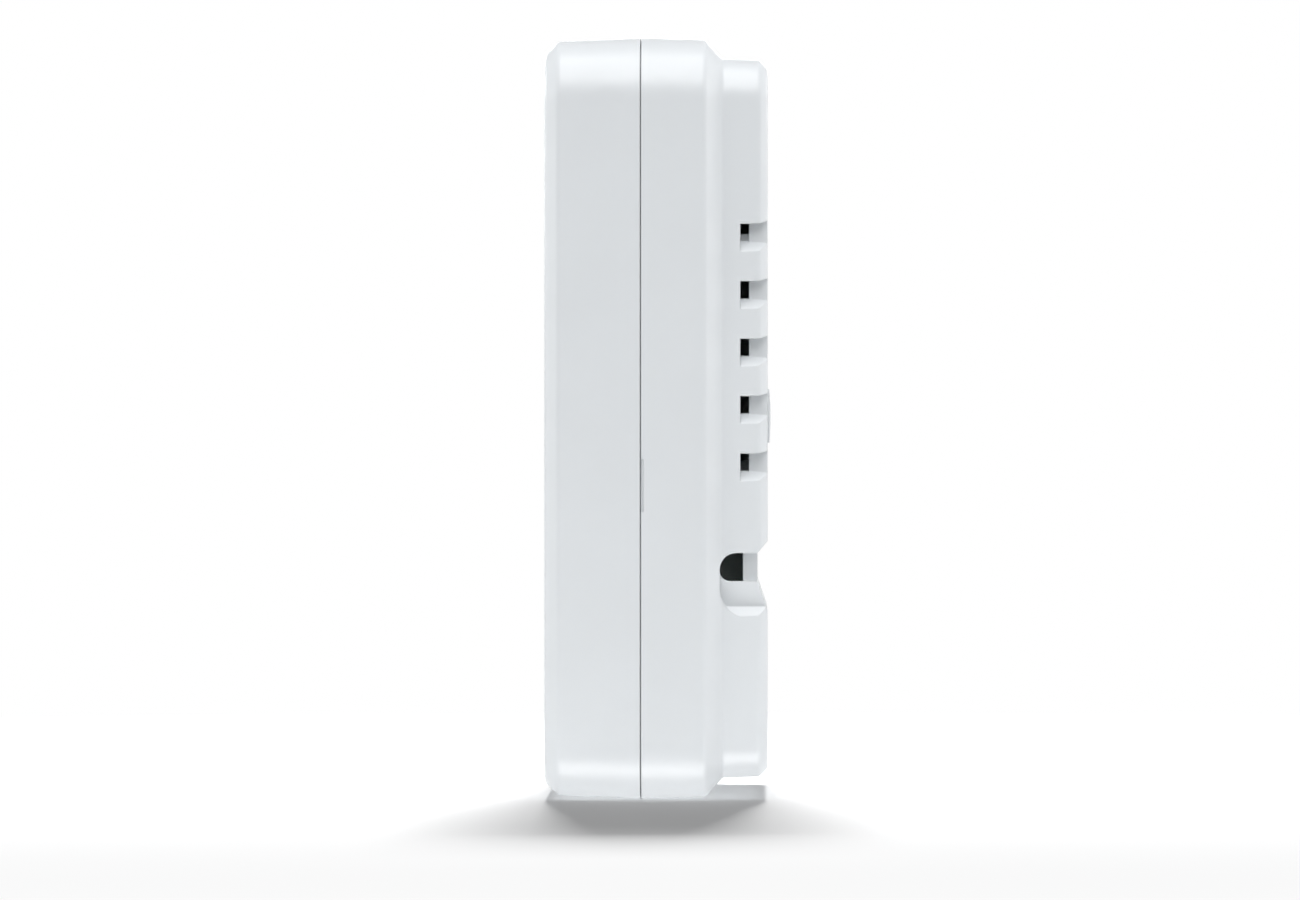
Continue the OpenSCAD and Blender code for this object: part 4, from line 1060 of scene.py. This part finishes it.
class TIMER_OT_stage(bpy.types.Operator):
    """Set up the floor, the light and the camera"""

    bl_idname = "timer.stage"
    bl_label = "Stage"

    def execute(self, context):
        s = context.scene.timer_stage
        low, high = (Vector(corner) for corner in CAD_BOX)
        self.floor(s, low.z)
        self.lights()
        self.world(context.scene)
        self.camera(context.scene, s, low, high)
        return {"FINISHED"}

    def floor(self, s, height):
        """Floor a hair below the case, whose bounce doesn't reach it."""
        bm = bmesh.new()
        bmesh.ops.create_grid(bm, x_segments=8, y_segments=8, size=6.0)
        mesh = bpy.data.meshes.new("floor")
        bm.to_mesh(mesh)
        bm.free()
        obj = bpy.data.objects.new("floor", mesh)
        bpy.context.scene.collection.objects.link(obj)
        obj.location.z = height - 0.00005
        mesh.materials.append(self.floor_finish(tuple(s.floor)))
        obj.visible_diffuse = False

    def floor_finish(self, colour):
        """Pale matt floor that runs into a painted white glow away from the object."""
        t = Finish("floor_matt_and_glow")
        place = t.place()
        cloud = t.noise(place, 30.0, 3.0)
        pale = t.blend(cloud, colour, shade(colour, 0.99))
        matt = t.add("ShaderNodeBsdfDiffuse", Color=pale, Roughness=0.5)
        # painted light: the floor glows white here, though it is no lamp
        white = t.add("ShaderNodeEmission", Color=(1.0, 1.0, 1.0), Strength=1.0)
        reach = t.add("ShaderNodeVectorMath", {"operation": "LENGTH"})
        t.put(reach, "0", place)
        glow_start, glow_end = 0.14, 0.45
        painted_glow = t.spread(reach.outputs["Value"], glow_start, glow_end)
        t.add("ShaderNodeOutputMaterial", Surface=t.either(painted_glow, matt, white))
        return t.material

    def lights(self):
        """Soft lights round the case, a small one below it, and one behind that lights the floor only."""
        middle = Vector((0.0, -0.018, 0.0))
        case_lights = [self.area(name, at, middle, size, power) for name, at, size, power in SOFT_LIGHTS]
        below, lower_end = (0.125, -0.018, -0.25), (0.03, -0.018, -0.03)
        low_light = self.area("low_light", below, lower_end, (0.25, 0.1), 0.47)
        shadow = self.area("shadow_light", (-1.2, -0.008, 0.95), middle, (0.26, 0.36), 72.0)
        floor = bpy.data.objects["floor"]
        case_only = self.linked("all_but_floor", floor, "EXCLUDE")
        for light in (*case_lights, low_light):
            light.light_linking.receiver_collection = case_only
        low_light.light_linking.blocker_collection = case_only
        shadow.light_linking.receiver_collection = self.linked("floor_only", floor, "INCLUDE")

    def linked(self, name, obj, state):
        """Collection that includes or excludes an object for a light."""
        group = bpy.data.collections.new(name)
        group.objects.link(obj)
        group.collection_objects[0].light_linking.link_state = state
        return group

    def area(self, name, place, aim, size, power):
        """Rectangular light at a place, turned to its aim and unseen itself."""
        data = bpy.data.lights.new(name, "AREA")
        data.shape = "RECTANGLE"
        data.size, data.size_y = size
        data.energy = power
        obj = bpy.data.objects.new(name, data)
        bpy.context.scene.collection.objects.link(obj)
        obj.location = place
        obj.rotation_euler = (Vector(aim) - Vector(place)).to_track_quat("-Z", "Y").to_euler()
        obj.visible_camera = False
        return obj

    def world(self, scene):
        """White to the camera, and a dimmer sky for light and reflections."""
        world = bpy.data.worlds.new("studio")
        scene.world = world
        t = Tree(world)
        way = t.add("ShaderNodeTexCoord").outputs["Generated"]
        parts = t.add("ShaderNodeSeparateXYZ", Vector=way)
        horizon, zenith = 0.39, 0.29
        above = t.spread(parts.outputs["Z"], 0.1, 0.9, horizon, zenith)
        sky = t.add("ShaderNodeBackground", Color=(0.985, 0.993, 1.0), Strength=above)
        white = t.add("ShaderNodeBackground", Color=(1.0, 1.0, 1.0), Strength=1.0)
        seen = t.add("ShaderNodeLightPath").outputs["Is Camera Ray"]
        t.add("ShaderNodeOutputWorld", Surface=t.either(seen, sky, white))

    def camera(self, scene, s, low, high):
        """Level camera square to the side, standing near the wall's plane and shifted onto the case."""
        sensor, clear_of_wall = 36.0, 0.004
        to_cover, under_middle = 0.0012, 0.005
        data = bpy.data.cameras.new("camera")
        obj = bpy.data.objects.new("camera", data)
        scene.collection.objects.link(obj)
        scene.camera = obj
        near = s.distance - high.x
        data.sensor_width = sensor
        data.lens = sensor * near / s.view_width
        data.clip_start = 0.05
        data.clip_end = 40.0
        aim_y = (low.y + high.y) / 2 - to_cover
        stand_y = high.y - clear_of_wall
        obj.location = (s.distance, stand_y, (low.z + high.z) / 2 - under_middle)
        obj.rotation_euler = (math.radians(90), 0, math.radians(90))
        data.shift_x = (aim_y - stand_y) / s.view_width
        scene.view_settings.view_transform = "Standard"


class TIMER_PT_panel(bpy.types.Panel):
    """Everything that the timer's look is made of"""

    bl_label = "Programmable timer"
    bl_idname = "TIMER_PT_panel"
    bl_space_type = "VIEW_3D"
    bl_region_type = "UI"
    bl_category = "Timer"

    def draw(self, context):
        for group in GROUPS:
            box = self.layout.box()
            settings = getattr(context.scene, group)
            for key in settings.__annotations__:
                box.prop(settings, key)
        for operator in STEPS:
            self.layout.operator(operator.bl_idname)


GROUPS = {
    "timer_case": TimerCaseSettings,
    "timer_display": TimerDisplaySettings,
    "timer_keys": TimerKeySettings,
    "timer_boards": TimerBoardSettings,
    "timer_stage": TimerStageSettings,
}
STEPS = (
    TIMER_OT_case,
    TIMER_OT_display,
    TIMER_OT_keys,
    TIMER_OT_power_board,
    TIMER_OT_display_board,
    TIMER_OT_power_detail,
    TIMER_OT_display_detail,
    TIMER_OT_stage,
)


def register():
    """Adds the classes and the settings to Blender."""
    for cls in (*GROUPS.values(), *STEPS, TIMER_PT_panel):
        bpy.utils.register_class(cls)
    for name, cls in GROUPS.items():
        setattr(bpy.types.Scene, name, PointerProperty(type=cls))


def unregister():
    """Takes them out again."""
    for name in GROUPS:
        delattr(bpy.types.Scene, name)
    for cls in reversed((*GROUPS.values(), *STEPS, TIMER_PT_panel)):
        bpy.utils.unregister_class(cls)


def main():
    """Builds everything in order."""
    register()
    for step in STEPS:
        family, name = step.bl_idname.split(".")
        getattr(getattr(bpy.ops, family), name)()


if __name__ == "__main__":
    main()
